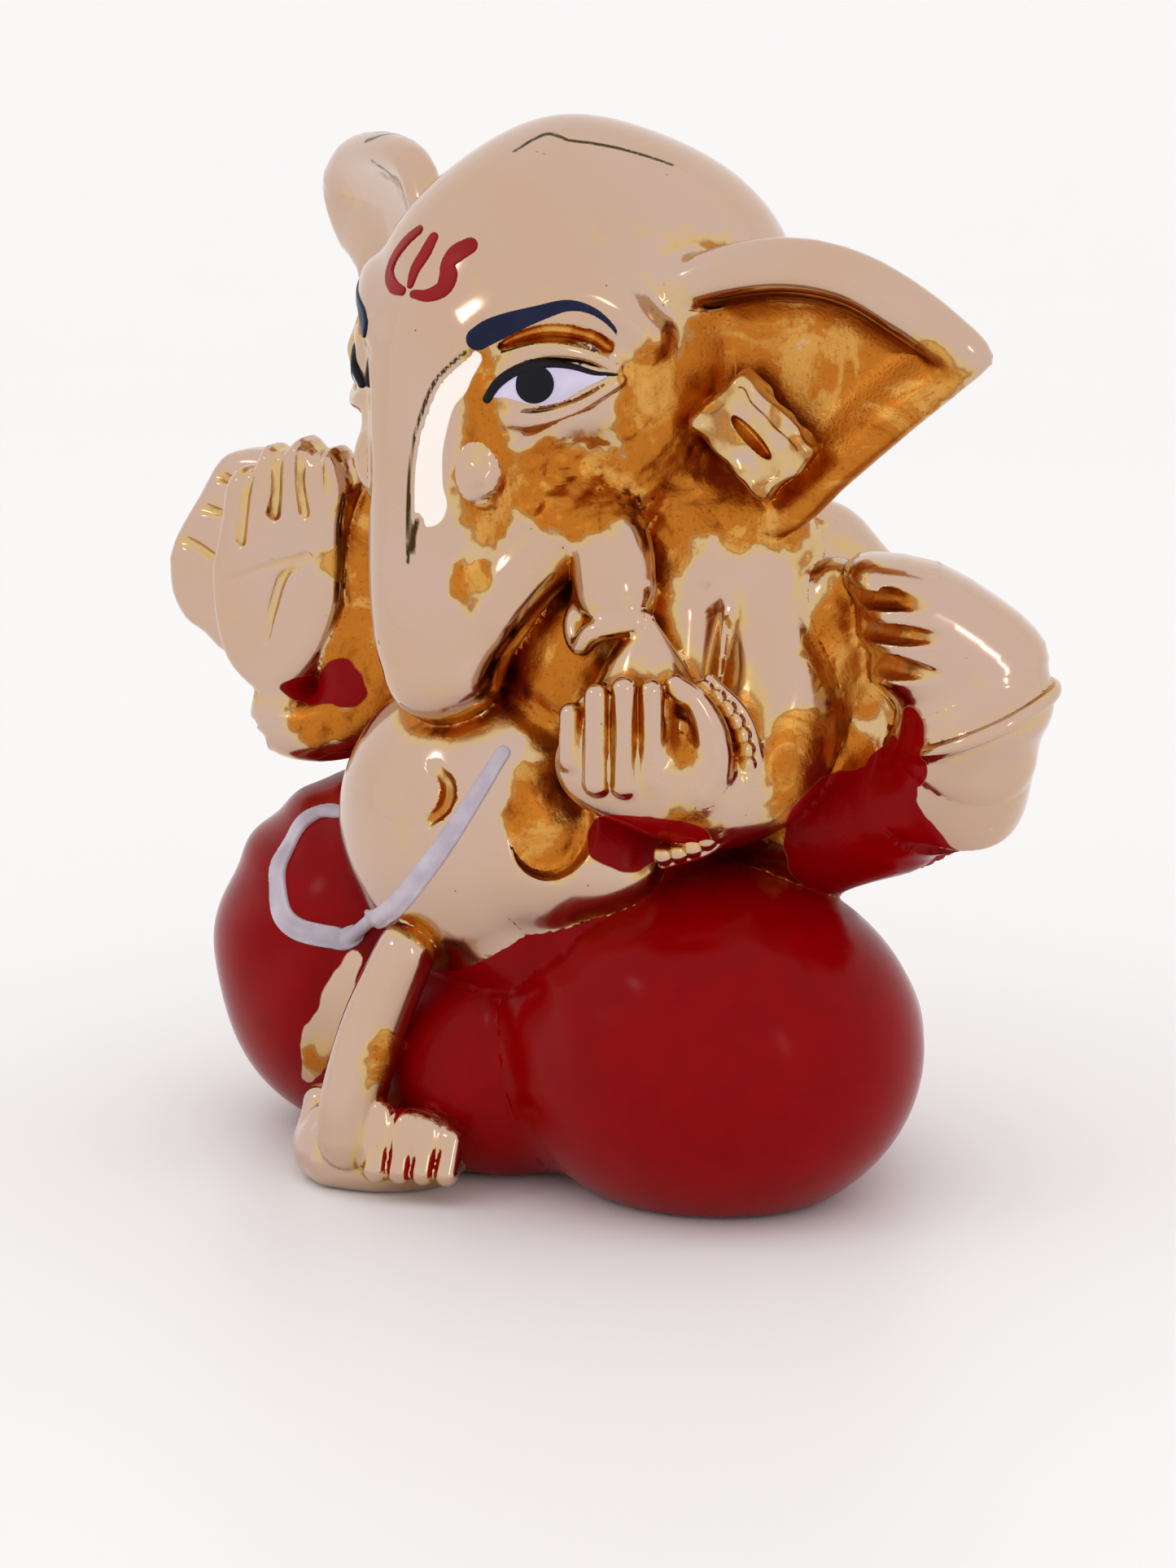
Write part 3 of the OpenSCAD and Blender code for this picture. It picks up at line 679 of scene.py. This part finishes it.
def settled(rows, names):
    """Rows moved onto the figure's surface."""
    pts = np.array([row[:3] for row in rows], float)
    for _ in range(6):
        d = whole(pts, names)
        g = slope(lambda q: whole(q, names), pts, d)
        pts -= d[:, None] * g / np.maximum((g * g).sum(1), 0.25)[:, None]
    return [(*pt, row[3]) for pt, row in zip(pts, rows)]


def film(strokes, names, lift, depth=0.35, core=0.0):
    """Paint inside strokes along the surface: a thin shell proud of it, over a round core."""
    paths = [settled(smooth(rows, 3), names) for rows in strokes]

    def field(p):
        base = whole(p, names)
        inside = np.minimum.reduce([limb(p, rows, 1) for rows in paths])
        d = soft_max(soft_max(base - lift, -base - depth, 0.05), inside, 0.08)
        return soft_min(d, inside + core, 0.3) if core else d
    return field


def eye_plane(p, side):
    """Places across, up and out from the eye's plane."""
    q = (p * (side, 1, 1) - EYE_AT) @ turned(0, 0, EYE_TURN)
    return q[:, 0], q[:, 2], -q[:, 1]


def eye_film(side, names, shape, lift, depth=0.35):
    """Paint inside a flat shape that is pressed onto the eye."""
    def field(p):
        base = whole(p, names)
        a, b, out = eye_plane(p, side)
        flat = soft_max(shape(a, b), -out - 3, 0.1)
        return soft_max(soft_max(base - lift, -base - depth, 0.05), flat, 0.06)
    return field


def almond(a, b):
    """Shape of the eye."""
    return outline(a, b, smooth(ALMOND + ALMOND[:1], 3)[:-1])


def pupil_disc(a, b):
    """Shape of the pupil, cut off by the eye's edge."""
    return soft_max(np.hypot(a + 0.2, b + 0.3) - 1.3, almond(a, b), 0.1)


# Painted reflections: the bright band beside the trunk is a painted reflection of a window, and the thin
# dark lines on the plating are painted reflections of dark things
SHINE = [(5, -16.9, 58.4, 0.5), (3.9, -17.6, 57, 1.05), (3, -18.2, 55.1, 1), (2.5, -18.7, 52.6, 1.05),
         (2.3, -18.9, 49.9, 1.2), (2.5, -19, 48.4, 1.35)]
# Paths of the thin dark lines, painted reflections of dark things around the figure
DARK_REFLECTION_LINES = [[(1.4, -9, 71.4, 0.14), (2.1, -6.5, 72.5, 0.2), (3.8, -6.1, 72.2, 0.17), (6, -3.6, 71.6, 0.17),
          (8.3, -0.5, 70.4, 0.14)],
         [(4.6, -17.3, 58.8, 0.14), (2.7, -18.1, 56.9, 0.17), (1.8, -18.6, 54.6, 0.17),
          (1.3, -19, 52.5, 0.14), (1.1, -19.3, 49.8, 0.17), (1.2, -19.6, 47.3, 0.2),
          (1.4, -19.9, 44.6, 0.14)],
         [(1.9, -19.4, 47.4, 0.2), (1.7, -19.6, 46.3, 0.17), (1.9, -19.8, 45.2, 0.12)],
         [(-20.8, -0.6, 70.4, 0.17), (-18.1, -1, 70.4, 0.2), (-16.4, -0.7, 69.7, 0.14)],
         [(-19.4, -1.8, 69.2, 0.14), (-16.2, -3.1, 68.5, 0.17), (-14.3, -3.6, 67.7, 0.14)]]


def tone(p):
    """Painted reflection: 1 on the bright band painted as a reflected window, -1 on the dark lines
    painted as dark reflections, and 0 elsewhere.
    """
    soft = 0.8
    bright = np.clip(0.5 - (limb(p, SHINE) + 0.3 * (noise(p, 1.4, 5) - 0.5)) / soft, 0, 1)
    dark = np.full(len(p), 9.0)
    for rows in DARK_REFLECTION_PATHS:
        dark = np.minimum(dark, limb(p, rows, 1))
    shade = np.clip(0.5 - dark / soft, 0, 1)
    return bright * np.clip(1 - 2.5 * shade, 0, 1) - shade


# -------- skinning


def slope(fn, p, base, h=0.015):
    """Gradient of a field whose values at the points are known."""
    g = np.empty_like(p)
    for i in range(3):
        step = np.zeros(3)
        step[i] = h
        g[:, i] = (fn(p + step) - base) / h
    return g


def blocks(a, factor, shape):
    """Coarse array repeated to fill a fine one."""
    for axis in range(3):
        a = np.repeat(a, factor, axis)
    return a[:shape[0], :shape[1], :shape[2]]


def sample(fn, lo, hi, step):
    """Field on a grid, worked out only near the surface."""
    coarse = 4
    n = np.ceil((hi - lo) / step).astype(int) + 1
    nc = (n + coarse - 1) // coarse
    axes = [lo[i] + step * (coarse * np.arange(nc[i]) + (coarse - 1) / 2) for i in range(3)]
    rough = fn(np.stack(np.meshgrid(*axes, indexing="ij"), -1).reshape(-1, 3)).reshape(nc)
    f = np.where(blocks(rough < 0, coarse, n), -9.0, 9.0)
    cells = np.argwhere(blocks(np.abs(rough) < coarse * step * 1.3, coarse, n))
    pts = cells * step + lo
    chunk = 300000
    values = [fn(pts[a:a + chunk]) for a in range(0, len(pts), chunk)]
    f[tuple(cells.T)] = np.concatenate(values)
    for axis in range(3):
        for edge in (0, -1):
            rim = np.moveaxis(f, axis, 0)
            rim[edge] = np.maximum(rim[edge], step / 2)
    return f


def surface_net(f, lo, step):
    """Closed quad mesh through the zero level of a sampled field."""
    inside = f < 0
    shape = np.array(f.shape) - 1
    corners = [(x, y, z) for x in (0, 1) for y in (0, 1) for z in (0, 1)]
    count = sum(inside[x:x + shape[0], y:y + shape[1], z:z + shape[2]].astype(np.int8)
                for x, y, z in corners)
    active = (count > 0) & (count < 8)
    cells = np.argwhere(active)
    index = -np.ones(active.shape, np.int64)
    index[active] = np.arange(len(cells))
    total, hits = np.zeros((len(cells), 3)), np.zeros(len(cells))
    for c in corners:
        for axis in range(3):
            if c[axis]:
                continue
            far = list(c)
            far[axis] = 1
            fa, fb = f[tuple((cells + c).T)], f[tuple((cells + far).T)]
            cross = (fa < 0) != (fb < 0)
            pos = np.tile(np.array(c, float), (cross.sum(), 1))
            pos[:, axis] += fa[cross] / (fa[cross] - fb[cross])
            total[cross] += pos
            hits[cross] += 1
    verts = (cells + total / hits[:, None]) * step + lo
    quads = []
    for axis in range(3):
        u, v = (axis + 1) % 3, (axis + 2) % 3
        du, dv = np.zeros(3, int), np.zeros(3, int)
        du[u] = dv[v] = 1
        a = np.take(inside, range(f.shape[axis] - 1), axis)
        b = np.take(inside, range(1, f.shape[axis]), axis)
        for outward in (True, False):
            e = np.argwhere(a & ~b if outward else ~a & b)
            eu, ev = e[:, u], e[:, v]
            e = e[(eu > 0) & (ev > 0) & (eu < active.shape[u]) & (ev < active.shape[v])]
            ring = [index[tuple((e - s).T)] for s in (du + dv, dv, 0 * du, du)]
            q = np.stack(ring, 1)
            quads.append(q if outward else q[:, ::-1])
    return verts, np.vstack(quads)


def hollowness(p, normal, steep, names):
    """0 in the open and 1 deep in a crease, from how slowly the field grows along the normal."""
    lost = np.zeros(len(p))
    for reach_out, share in ((0.5, 0.2), (1.2, 0.3), (2.6, 0.5)):
        lost += share * np.clip(1 - whole(p + normal * reach_out, names) / (reach_out * steep), 0, 1.2)
    return np.clip(lost, 0, 1)


def surface(name, fn, lo, hi, step, names):
    """Closed surface of a field: places, quads, normals, how hollow and red each place is, and where
    bright and dark reflections are painted on it.
    """
    lo, hi = np.asarray(lo, float) - 2 * step, np.asarray(hi, float) + 2 * step
    verts, quads = surface_net(sample(fn, lo, hi, step), lo, step)
    for _ in range(2):
        base = fn(verts)
        g = slope(fn, verts, base)
        move = base[:, None] * g / np.maximum((g * g).sum(1), 0.25)[:, None]
        verts = verts - np.clip(move, -step / 2, step / 2)
    normal = slope(fn, verts, fn(verts))
    steep = np.clip(np.linalg.norm(normal, axis=1), 0.3, 1)
    normal /= np.maximum(np.linalg.norm(normal, axis=1), 1e-9)[:, None]
    depth = np.maximum(amber(verts), dish(verts, normal)) + ragged(verts)
    if name.endswith("stud"):
        depth = -0.8 + 1.1 * noise(verts, 1.1, 6)
    elif name.endswith("tusk"):
        depth = -1
    hollow = np.maximum(hollowness(verts, normal, steep, names), np.clip(depth / 1.6 + 0.4, 0, 1))
    if name == "left_ear" or name.endswith("stud"):
        hollow = np.minimum(hollow, 0.9)
    return verts, quads, normal, hollow, enamel(verts, name, hollow), tone(verts)


def mesh_object(name, verts, quads, normal, hollow, red, painted_reflections):
    """Mesh object in metres, with what the shader reads kept at each point."""
    mesh = bpy.data.meshes.new(name)
    mesh.from_pydata((verts * UNIT).tolist(), [], quads.tolist())
    mesh.polygons.foreach_set("use_smooth", [True] * len(mesh.polygons))
    for key, values in (("hollow", hollow), ("enamel", red), ("tone", painted_reflections)):
        layer = mesh.attributes.new(key, "FLOAT", "POINT")
        layer.data.foreach_set("value", values.astype(np.float32))
    mesh.normals_split_custom_set_from_vertices(normal.tolist())
    obj = bpy.data.objects.new(name, mesh)
    bpy.context.scene.collection.objects.link(obj)
    return obj


# Where red enamel runs over the plating: middle and half widths of each patch
ENAMEL = [((16.5, -12.5, 26.2), (5, 4.5, 2.6)), ((25.6, 0.2, 25), (6, 7.5, 6)),
          ((27.4, -1.4, 29.6), (2.6, 3.8, 4.4)), ((-13, -7, 25.6), (6, 5, 2)),
          ((-18.4, -9.4, 31.8), (2.6, 2, 1)), ((-16, -8, 32.6), (2.6, 2.6, 1.7)),
          ((29.6, -1.4, 33), (1.7, 2.8, 2.8))]
TOE_RED = ((2.2, -21, 4.6), (3.6, 2.6, 2.8))
GOLD_STRIP = [(-7.6, -16.1, 14.8, 0.8), (-8.6, -16.4, 12.6, 1), (-9.9, -16.8, 9.8, 1.15),
              (-11.3, -16.7, 7.1, 0.9), (-12.5, -16.1, 5.3, 0.5)]


def enamel(p, name, hollow):
    """How far inside the red enamel a point is, in mm."""
    wander = 0.7 * (noise(p, 2.2, 3) - 0.5) + 0.3 * (noise(p, 0.8, 4) - 0.5)
    if name in ("seat", "left_leg", "right_leg"):
        return limb(p, GOLD_STRIP) + wander
    if name == "torso":
        waist, rise = 17.5, 5.5  # the red goes higher at the idol's left and at the back
        top = waist + rise * np.clip((p[:, 0] - 5) / 9, 0, 1) + rise * (p[:, 1] > -8)
        return top - p[:, 2] + 2 * wander
    if name == "beaded_bracelet":
        return np.full(len(p), -1.0)
    patches = np.maximum.reduce([-blob(p, at, r) for at, r in ENAMEL]) + wander
    return np.maximum(patches, np.minimum(-blob(p, *TOE_RED), 2 * hollow - 0.4))


# -------- materials


def new_material(name):
    mat = bpy.data.materials.new(name)
    mat.use_nodes = True
    return mat, mat.node_tree, mat.node_tree.nodes["Principled BSDF"]


def put(tree, kind, values=None, **settings):
    """New node, its sockets linked or set from values."""
    node = tree.nodes.new(kind)
    for key, value in settings.items():
        setattr(node, key, value)
    for key, value in (values or {}).items():
        socket = node.inputs[key]
        if isinstance(value, bpy.types.NodeSocket):
            tree.links.new(value, socket)
        else:
            socket.default_value = value
    return node


def maths(tree, how, a, b=0.0, clamp=False):
    return put(tree, "ShaderNodeMath", {0: a, 1: b}, operation=how, use_clamp=clamp).outputs[0]


def ramp(tree, value, low, high, out_low=0.0, out_high=1.0):
    """Smooth step from one output to another as the value goes from low to high."""
    node = put(tree, "ShaderNodeMapRange", {"Value": value, "From Min": low, "From Max": high,
                                            "To Min": out_low, "To Max": out_high},
               interpolation_type="SMOOTHSTEP")
    return node.outputs[0]


def mix(tree, factor, a, b):
    node = put(tree, "ShaderNodeMix", {"Factor": factor}, data_type="RGBA")
    for socket, value in ((node.inputs[6], a), (node.inputs[7], b)):
        if isinstance(value, bpy.types.NodeSocket):
            tree.links.new(value, socket)
        else:
            socket.default_value = (*value, 1)
    return node.outputs[2]


def grain(tree, size_mm, detail=2.0, rough=0.5, swirl=0.0):
    """Noise over the object, with features of the given size."""
    where = tree.nodes.new("ShaderNodeTexCoord").outputs["Object"]
    return put(tree, "ShaderNodeTexNoise", {"Vector": where, "Scale": 1 / (size_mm * UNIT),
                                            "Detail": detail, "Roughness": rough,
                                            "Distortion": swirl}).outputs[0]


def plated(name, pale):
    """Mirror plating: pale, yellow near hollows, amber in them, with red enamel over it. The amber's own
    flowing colour carries painted highlights and pale painted reflections, and a painted bright band and
    painted dark lines stand for reflections on the plating.
    """
    mat, tree, bsdf = new_material(name)
    hollow = put(tree, "ShaderNodeAttribute", attribute_name="hollow").outputs["Fac"]
    paint = put(tree, "ShaderNodeAttribute", attribute_name="enamel").outputs["Fac"]
    painted_reflections = put(tree, "ShaderNodeAttribute", attribute_name="tone").outputs["Fac"]
    patchy = grain(tree, 2.4, 4, 0.6)
    fine = grain(tree, 0.3, 4, 0.65)
    depth = maths(tree, "ADD", hollow, maths(tree, "MULTIPLY", patchy, 0.6))
    worn = ramp(tree, depth, 0.52, 0.85)
    warmer = tuple(c * s for c, s in zip(pale, (1, 0.96, 0.86)))
    open_tone = mix(tree, ramp(tree, grain(tree, 9, 1), 0.3, 0.7), pale, warmer)
    clean = mix(tree, ramp(tree, depth, 0.34, 0.56, 0, 0.75), open_tone, YELLOW)
    flow = grain(tree, 6.5, 8, 0.66, 1.2)
    lacquer = mix(tree, ramp(tree, flow, 0.28, 0.44), UMBER, AMBER_TONE)
    # Painted highlights: golden streaks in the lacquer stand for bright reflections in its gloss
    lacquer = mix(tree, ramp(tree, flow, 0.5, 0.6, 0, 0.9), lacquer, HIGHLIGHT_HONEY)
    # Painted reflections: pale patches in the lacquer
    lacquer = mix(tree, ramp(tree, flow, 0.66, 0.72, 0, 0.8), lacquer, pale)
    lacquer = mix(tree, ramp(tree, fine, 0.44, 0.3, 0, 0.55), lacquer, UMBER)
    edge = maths(tree, "MULTIPLY", ramp(tree, worn, 0, 0.5), ramp(tree, worn, 0.95, 0.5))
    gold = mix(tree, maths(tree, "MULTIPLY", edge, 0.42), mix(tree, worn, clean, lacquer), UMBER)
    where = tree.nodes.new("ShaderNodeTexCoord").outputs["Object"]
    specks = put(tree, "ShaderNodeTexVoronoi", {"Vector": where, "Scale": 1 / (1.5 * UNIT)})
    speck = specks.outputs["Distance"]
    pit = maths(tree, "MULTIPLY", ramp(tree, speck, 0.03, 0.07, 1, 0),
                ramp(tree, grain(tree, 5, 0), 0.5, 0.62))
    gold = mix(tree, maths(tree, "MULTIPLY", pit, 0.7), gold, (0.06, 0.04, 0.03))
    # Painted highlight: near-white colour on the band where a window's reflection is painted beside the
    # trunk
    gold = mix(tree, ramp(tree, painted_reflections, 0.42, 0.56), gold, (1, 0.93, 0.85))
    # Painted reflections: near-black colour along the thin lines where dark things are painted as
    # reflected
    gold = mix(tree, ramp(tree, painted_reflections, -0.6, -0.4, 1, 0), gold, (0.06, 0.034, 0.01))
    coated = ramp(tree, paint, -0.06, 0.06)
    red = mix(tree, ramp(tree, patchy, 0.3, 0.75), (0.26, 0.0, 0.001), (0.225, 0.0, 0.001))
    tree.links.new(mix(tree, coated, gold, red), bsdf.inputs["Base Color"])
    tree.links.new(maths(tree, "SUBTRACT", 1, coated), bsdf.inputs["Metallic"])
    polish = ramp(tree, worn, 0, 1, 0.13, 0.27)
    rough = maths(tree, "ADD", polish, maths(tree, "MULTIPLY", coated, 0.05), True)
    tree.links.new(rough, bsdf.inputs["Roughness"])
    height = maths(tree, "MULTIPLY", fine, ramp(tree, worn, 0, 1, 0.03, 0.7))
    bump = put(tree, "ShaderNodeBump", {"Height": height, "Strength": 0.4, "Distance": 0.1 * UNIT})
    tree.links.new(bump.outputs[0], bsdf.inputs["Normal"])
    bsdf.inputs["Specular IOR Level"].default_value = 0.08
    return mat


def enamelled(name, colour, shade, roughness):
    """Brushed-on gloss enamel: slow changes of tone and a faint ripple."""
    mat, tree, bsdf = new_material(name)
    tint = mix(tree, ramp(tree, grain(tree, 2.5, 2), 0.3, 0.7), colour, shade)
    tree.links.new(tint, bsdf.inputs["Base Color"])
    tree.links.new(ramp(tree, grain(tree, 1.2, 2), 0.2, 0.8, roughness * 0.8, roughness * 1.25),
                   bsdf.inputs["Roughness"])
    bump = put(tree, "ShaderNodeBump", {"Height": grain(tree, 1.8, 2), "Strength": 0.12,
                                        "Distance": 0.15 * UNIT})
    tree.links.new(bump.outputs[0], bsdf.inputs["Normal"])
    bsdf.inputs["Specular IOR Level"].default_value = 0.2
    return mat


# Tones of the plating and its lacquer
YELLOW = (0.66, 0.46, 0.16)
UMBER = (0.2, 0.045, 0.002)
AMBER_TONE = (0.5, 0.165, 0.018)
# Golden tone painted into the lacquer as highlights
HIGHLIGHT_HONEY = (0.66, 0.34, 0.075)
PALE_GOLD = (0.6, 0.43, 0.335)
GOLD = plated("plated_gold", PALE_GOLD)
RED = plated("red_enamel", PALE_GOLD)
NAVY = enamelled("navy_enamel", (0.006, 0.010, 0.045), (0.003, 0.006, 0.03), 0.3)
BLACK = enamelled("black_enamel", (0.003, 0.003, 0.008), (0.001, 0.001, 0.004), 0.4)
WHITE = enamelled("white_enamel", (0.72, 0.66, 0.83), (0.64, 0.58, 0.78), 0.4)
THREAD_PAINT = enamelled("thread_enamel", (0.6, 0.54, 0.6), (0.46, 0.4, 0.47), 0.45)
TILAK_RED = enamelled("tilak_enamel", (0.29, 0.001, 0.002), (0.24, 0.0, 0.001), 0.3)

# -------- the pieces

# Grid step of each part in mm; the others have 0.35
STEP = {"head": 0.29, "trunk": 0.3, "left_ear": 0.25, "right_ear": 0.32, "torso": 0.45, "belly": 0.35,
        "seat": 0.6, "left_leg": 0.5, "right_leg": 0.4, "left_ear_stud": 0.15, "right_ear_stud": 0.2,
        "modak": 0.22, "beaded_bracelet": 0.14, "wrist_band": 0.2, "left_front_hand": 0.18,
        "right_front_hand": 0.2, "left_rear_hand": 0.25, "right_rear_hand": 0.25, "left_foot": 0.2,
        "right_foot": 0.25, "left_tusk": 0.18, "right_tusk": 0.18, "left_flank": 0.25}
COARSER = 1.0


def dress(obj, node, mat):
    """Sculpted piece in place of its CAD node."""
    obj.data.materials.append(mat)
    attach(obj, "root")
    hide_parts(node)


def painted():
    """The enamelled details as (node, field, neighbours, slot, material, step)."""
    rows = []
    for side, word in ((1, "left"), (-1, "right")):
        near = neighbours(*reach(word + "_brow"))
        flip = mirrored if side < 0 else list
        rows += [
            (word + "_eye", eye_film(side, near, almond, 0.1), near, "white_enamel", WHITE, 0.12),
            (word + "_pupil", eye_film(side, near, pupil_disc, 0.18), near, "navy_enamel", BLACK, 0.1),
            (word + "_lash_line", film([flip(LASH)], near, 0.26), near, "navy_enamel", BLACK, 0.1),
            (word + "_brow", film([flip(BROW)], near, 0.14), near, "navy_enamel", NAVY, 0.14)]
    near = neighbours(*reach("tilak"))
    rows.append(("tilak", film(TILAK, near, 0.12), near, "red_enamel", TILAK_RED, 0.12))
    near = neighbours(*reach("sacred_thread"))
    rows.append(("sacred_thread", film([THREAD], near, 0.25, core=0.3), near, "white_enamel",
                 THREAD_PAINT, 0.16))
    return rows


# The painted dark reflection lines, moved onto the surface
DARK_REFLECTION_PATHS = [settled(smooth(rows, 2), list(FORMS)) for rows in DARK_REFLECTION_LINES]
WORK = []
for node in FORMS:
    near = neighbours(*reach(node))
    slot, mat = ("red_enamel", RED) if node in ("seat", "left_leg", "right_leg") else ("gold_plate", GOLD)
    WORK.append((node, piece_field(node, near), near, slot, mat, STEP.get(node, 0.35)))
WORK += painted()


def sculpt(row):
    """Surface of one row of WORK."""
    node, field, near, _, _, step = row
    low, high = reach(node)
    return surface(node, field, low, high, step * COARSER, near)


with ThreadPoolExecutor(4) as pool:
    for row, made in zip(WORK, pool.map(sculpt, WORK)):
        dress(mesh_object("sculpted_" + row[0], *made), row[0], row[4])

# -------- floor, light and camera


def floor():
    """Pale sheet that curves up behind the figure."""
    mat, tree, bsdf = new_material("pale_floor")
    tint = mix(tree, grain(tree, 40, 2), (0.99, 0.99, 0.98), (0.97, 0.97, 0.97))
    tree.links.new(tint, bsdf.inputs["Base Color"])
    bsdf.inputs["Roughness"].default_value = 0.45
    half, back, rise, radius = 1.6, 0.7, 1.1, 0.3
    bend = 12
    profile = [(-half, 0.0), (back - radius, 0.0)]
    for i in range(1, bend + 1):
        a = math.pi / 2 * i / bend
        profile.append((back - radius + radius * math.sin(a), radius - radius * math.cos(a)))
    profile.append((back, rise))
    verts = [(x, y, z) for x in (-half * 1.6, half * 1.6) for y, z in profile]
    n = len(profile)
    mesh = bpy.data.meshes.new("floor")
    mesh.from_pydata(verts, [], [(i, i + 1, n + i + 1, n + i) for i in range(n - 1)])
    mesh.polygons.foreach_set("use_smooth", [True] * len(mesh.polygons))
    mesh.materials.append(mat)
    obj = bpy.data.objects.new("floor", mesh)
    obj.rotation_euler.z = math.radians(FACING)
    bpy.context.scene.collection.objects.link(obj)


def softbox(name, at, size, power, colour=(1, 1, 1)):
    """Area light that faces the figure."""
    light = bpy.data.lights.new(name, "AREA")
    light.shape = "ELLIPSE"
    light.size, light.size_y = size
    light.energy = power
    light.color = colour
    obj = bpy.data.objects.new(name, light)
    obj.location = at
    obj.rotation_mode = "QUATERNION"
    obj.rotation_quaternion = (Vector((0, 0, 0.04)) - Vector(at)).to_track_quat("-Z", "Y")
    bpy.context.scene.collection.objects.link(obj)


def camera():
    """Camera at the angle of the photograph."""
    azimuth, elevation, distance = math.radians(FACING), math.radians(12), 340 * UNIT
    target = Vector((0, 0, 26 * UNIT))
    back = Vector((math.sin(azimuth) * math.cos(elevation), -math.cos(azimuth) * math.cos(elevation),
                   math.sin(elevation)))
    data = bpy.data.cameras.new("camera")
    data.sensor_width = 36
    data.lens = 109.5
    data.clip_start, data.clip_end = 0.01, 10
    obj = bpy.data.objects.new("camera", data)
    obj.location = target + back * distance
    obj.rotation_mode = "QUATERNION"
    obj.rotation_quaternion = (-back).to_track_quat("-Z", "Y")
    bpy.context.scene.collection.objects.link(obj)
    bpy.context.scene.camera = obj


floor()
softbox("key", (-0.25, -0.55, 0.5), (0.09, 0.09), 0.12)
softbox("fill", (0.75, -0.25, 0.3), (0.04, 0.25), 0.12, (1, 0.97, 0.98))
camera()

world = bpy.data.worlds.new("studio")
world.use_nodes = True
world.node_tree.nodes["Background"].inputs["Color"].default_value = (1, 0.97, 0.98, 1)
world.node_tree.nodes["Background"].inputs["Strength"].default_value = 1.0
bpy.context.scene.world = world
bpy.context.scene.view_settings.view_transform = "Standard"
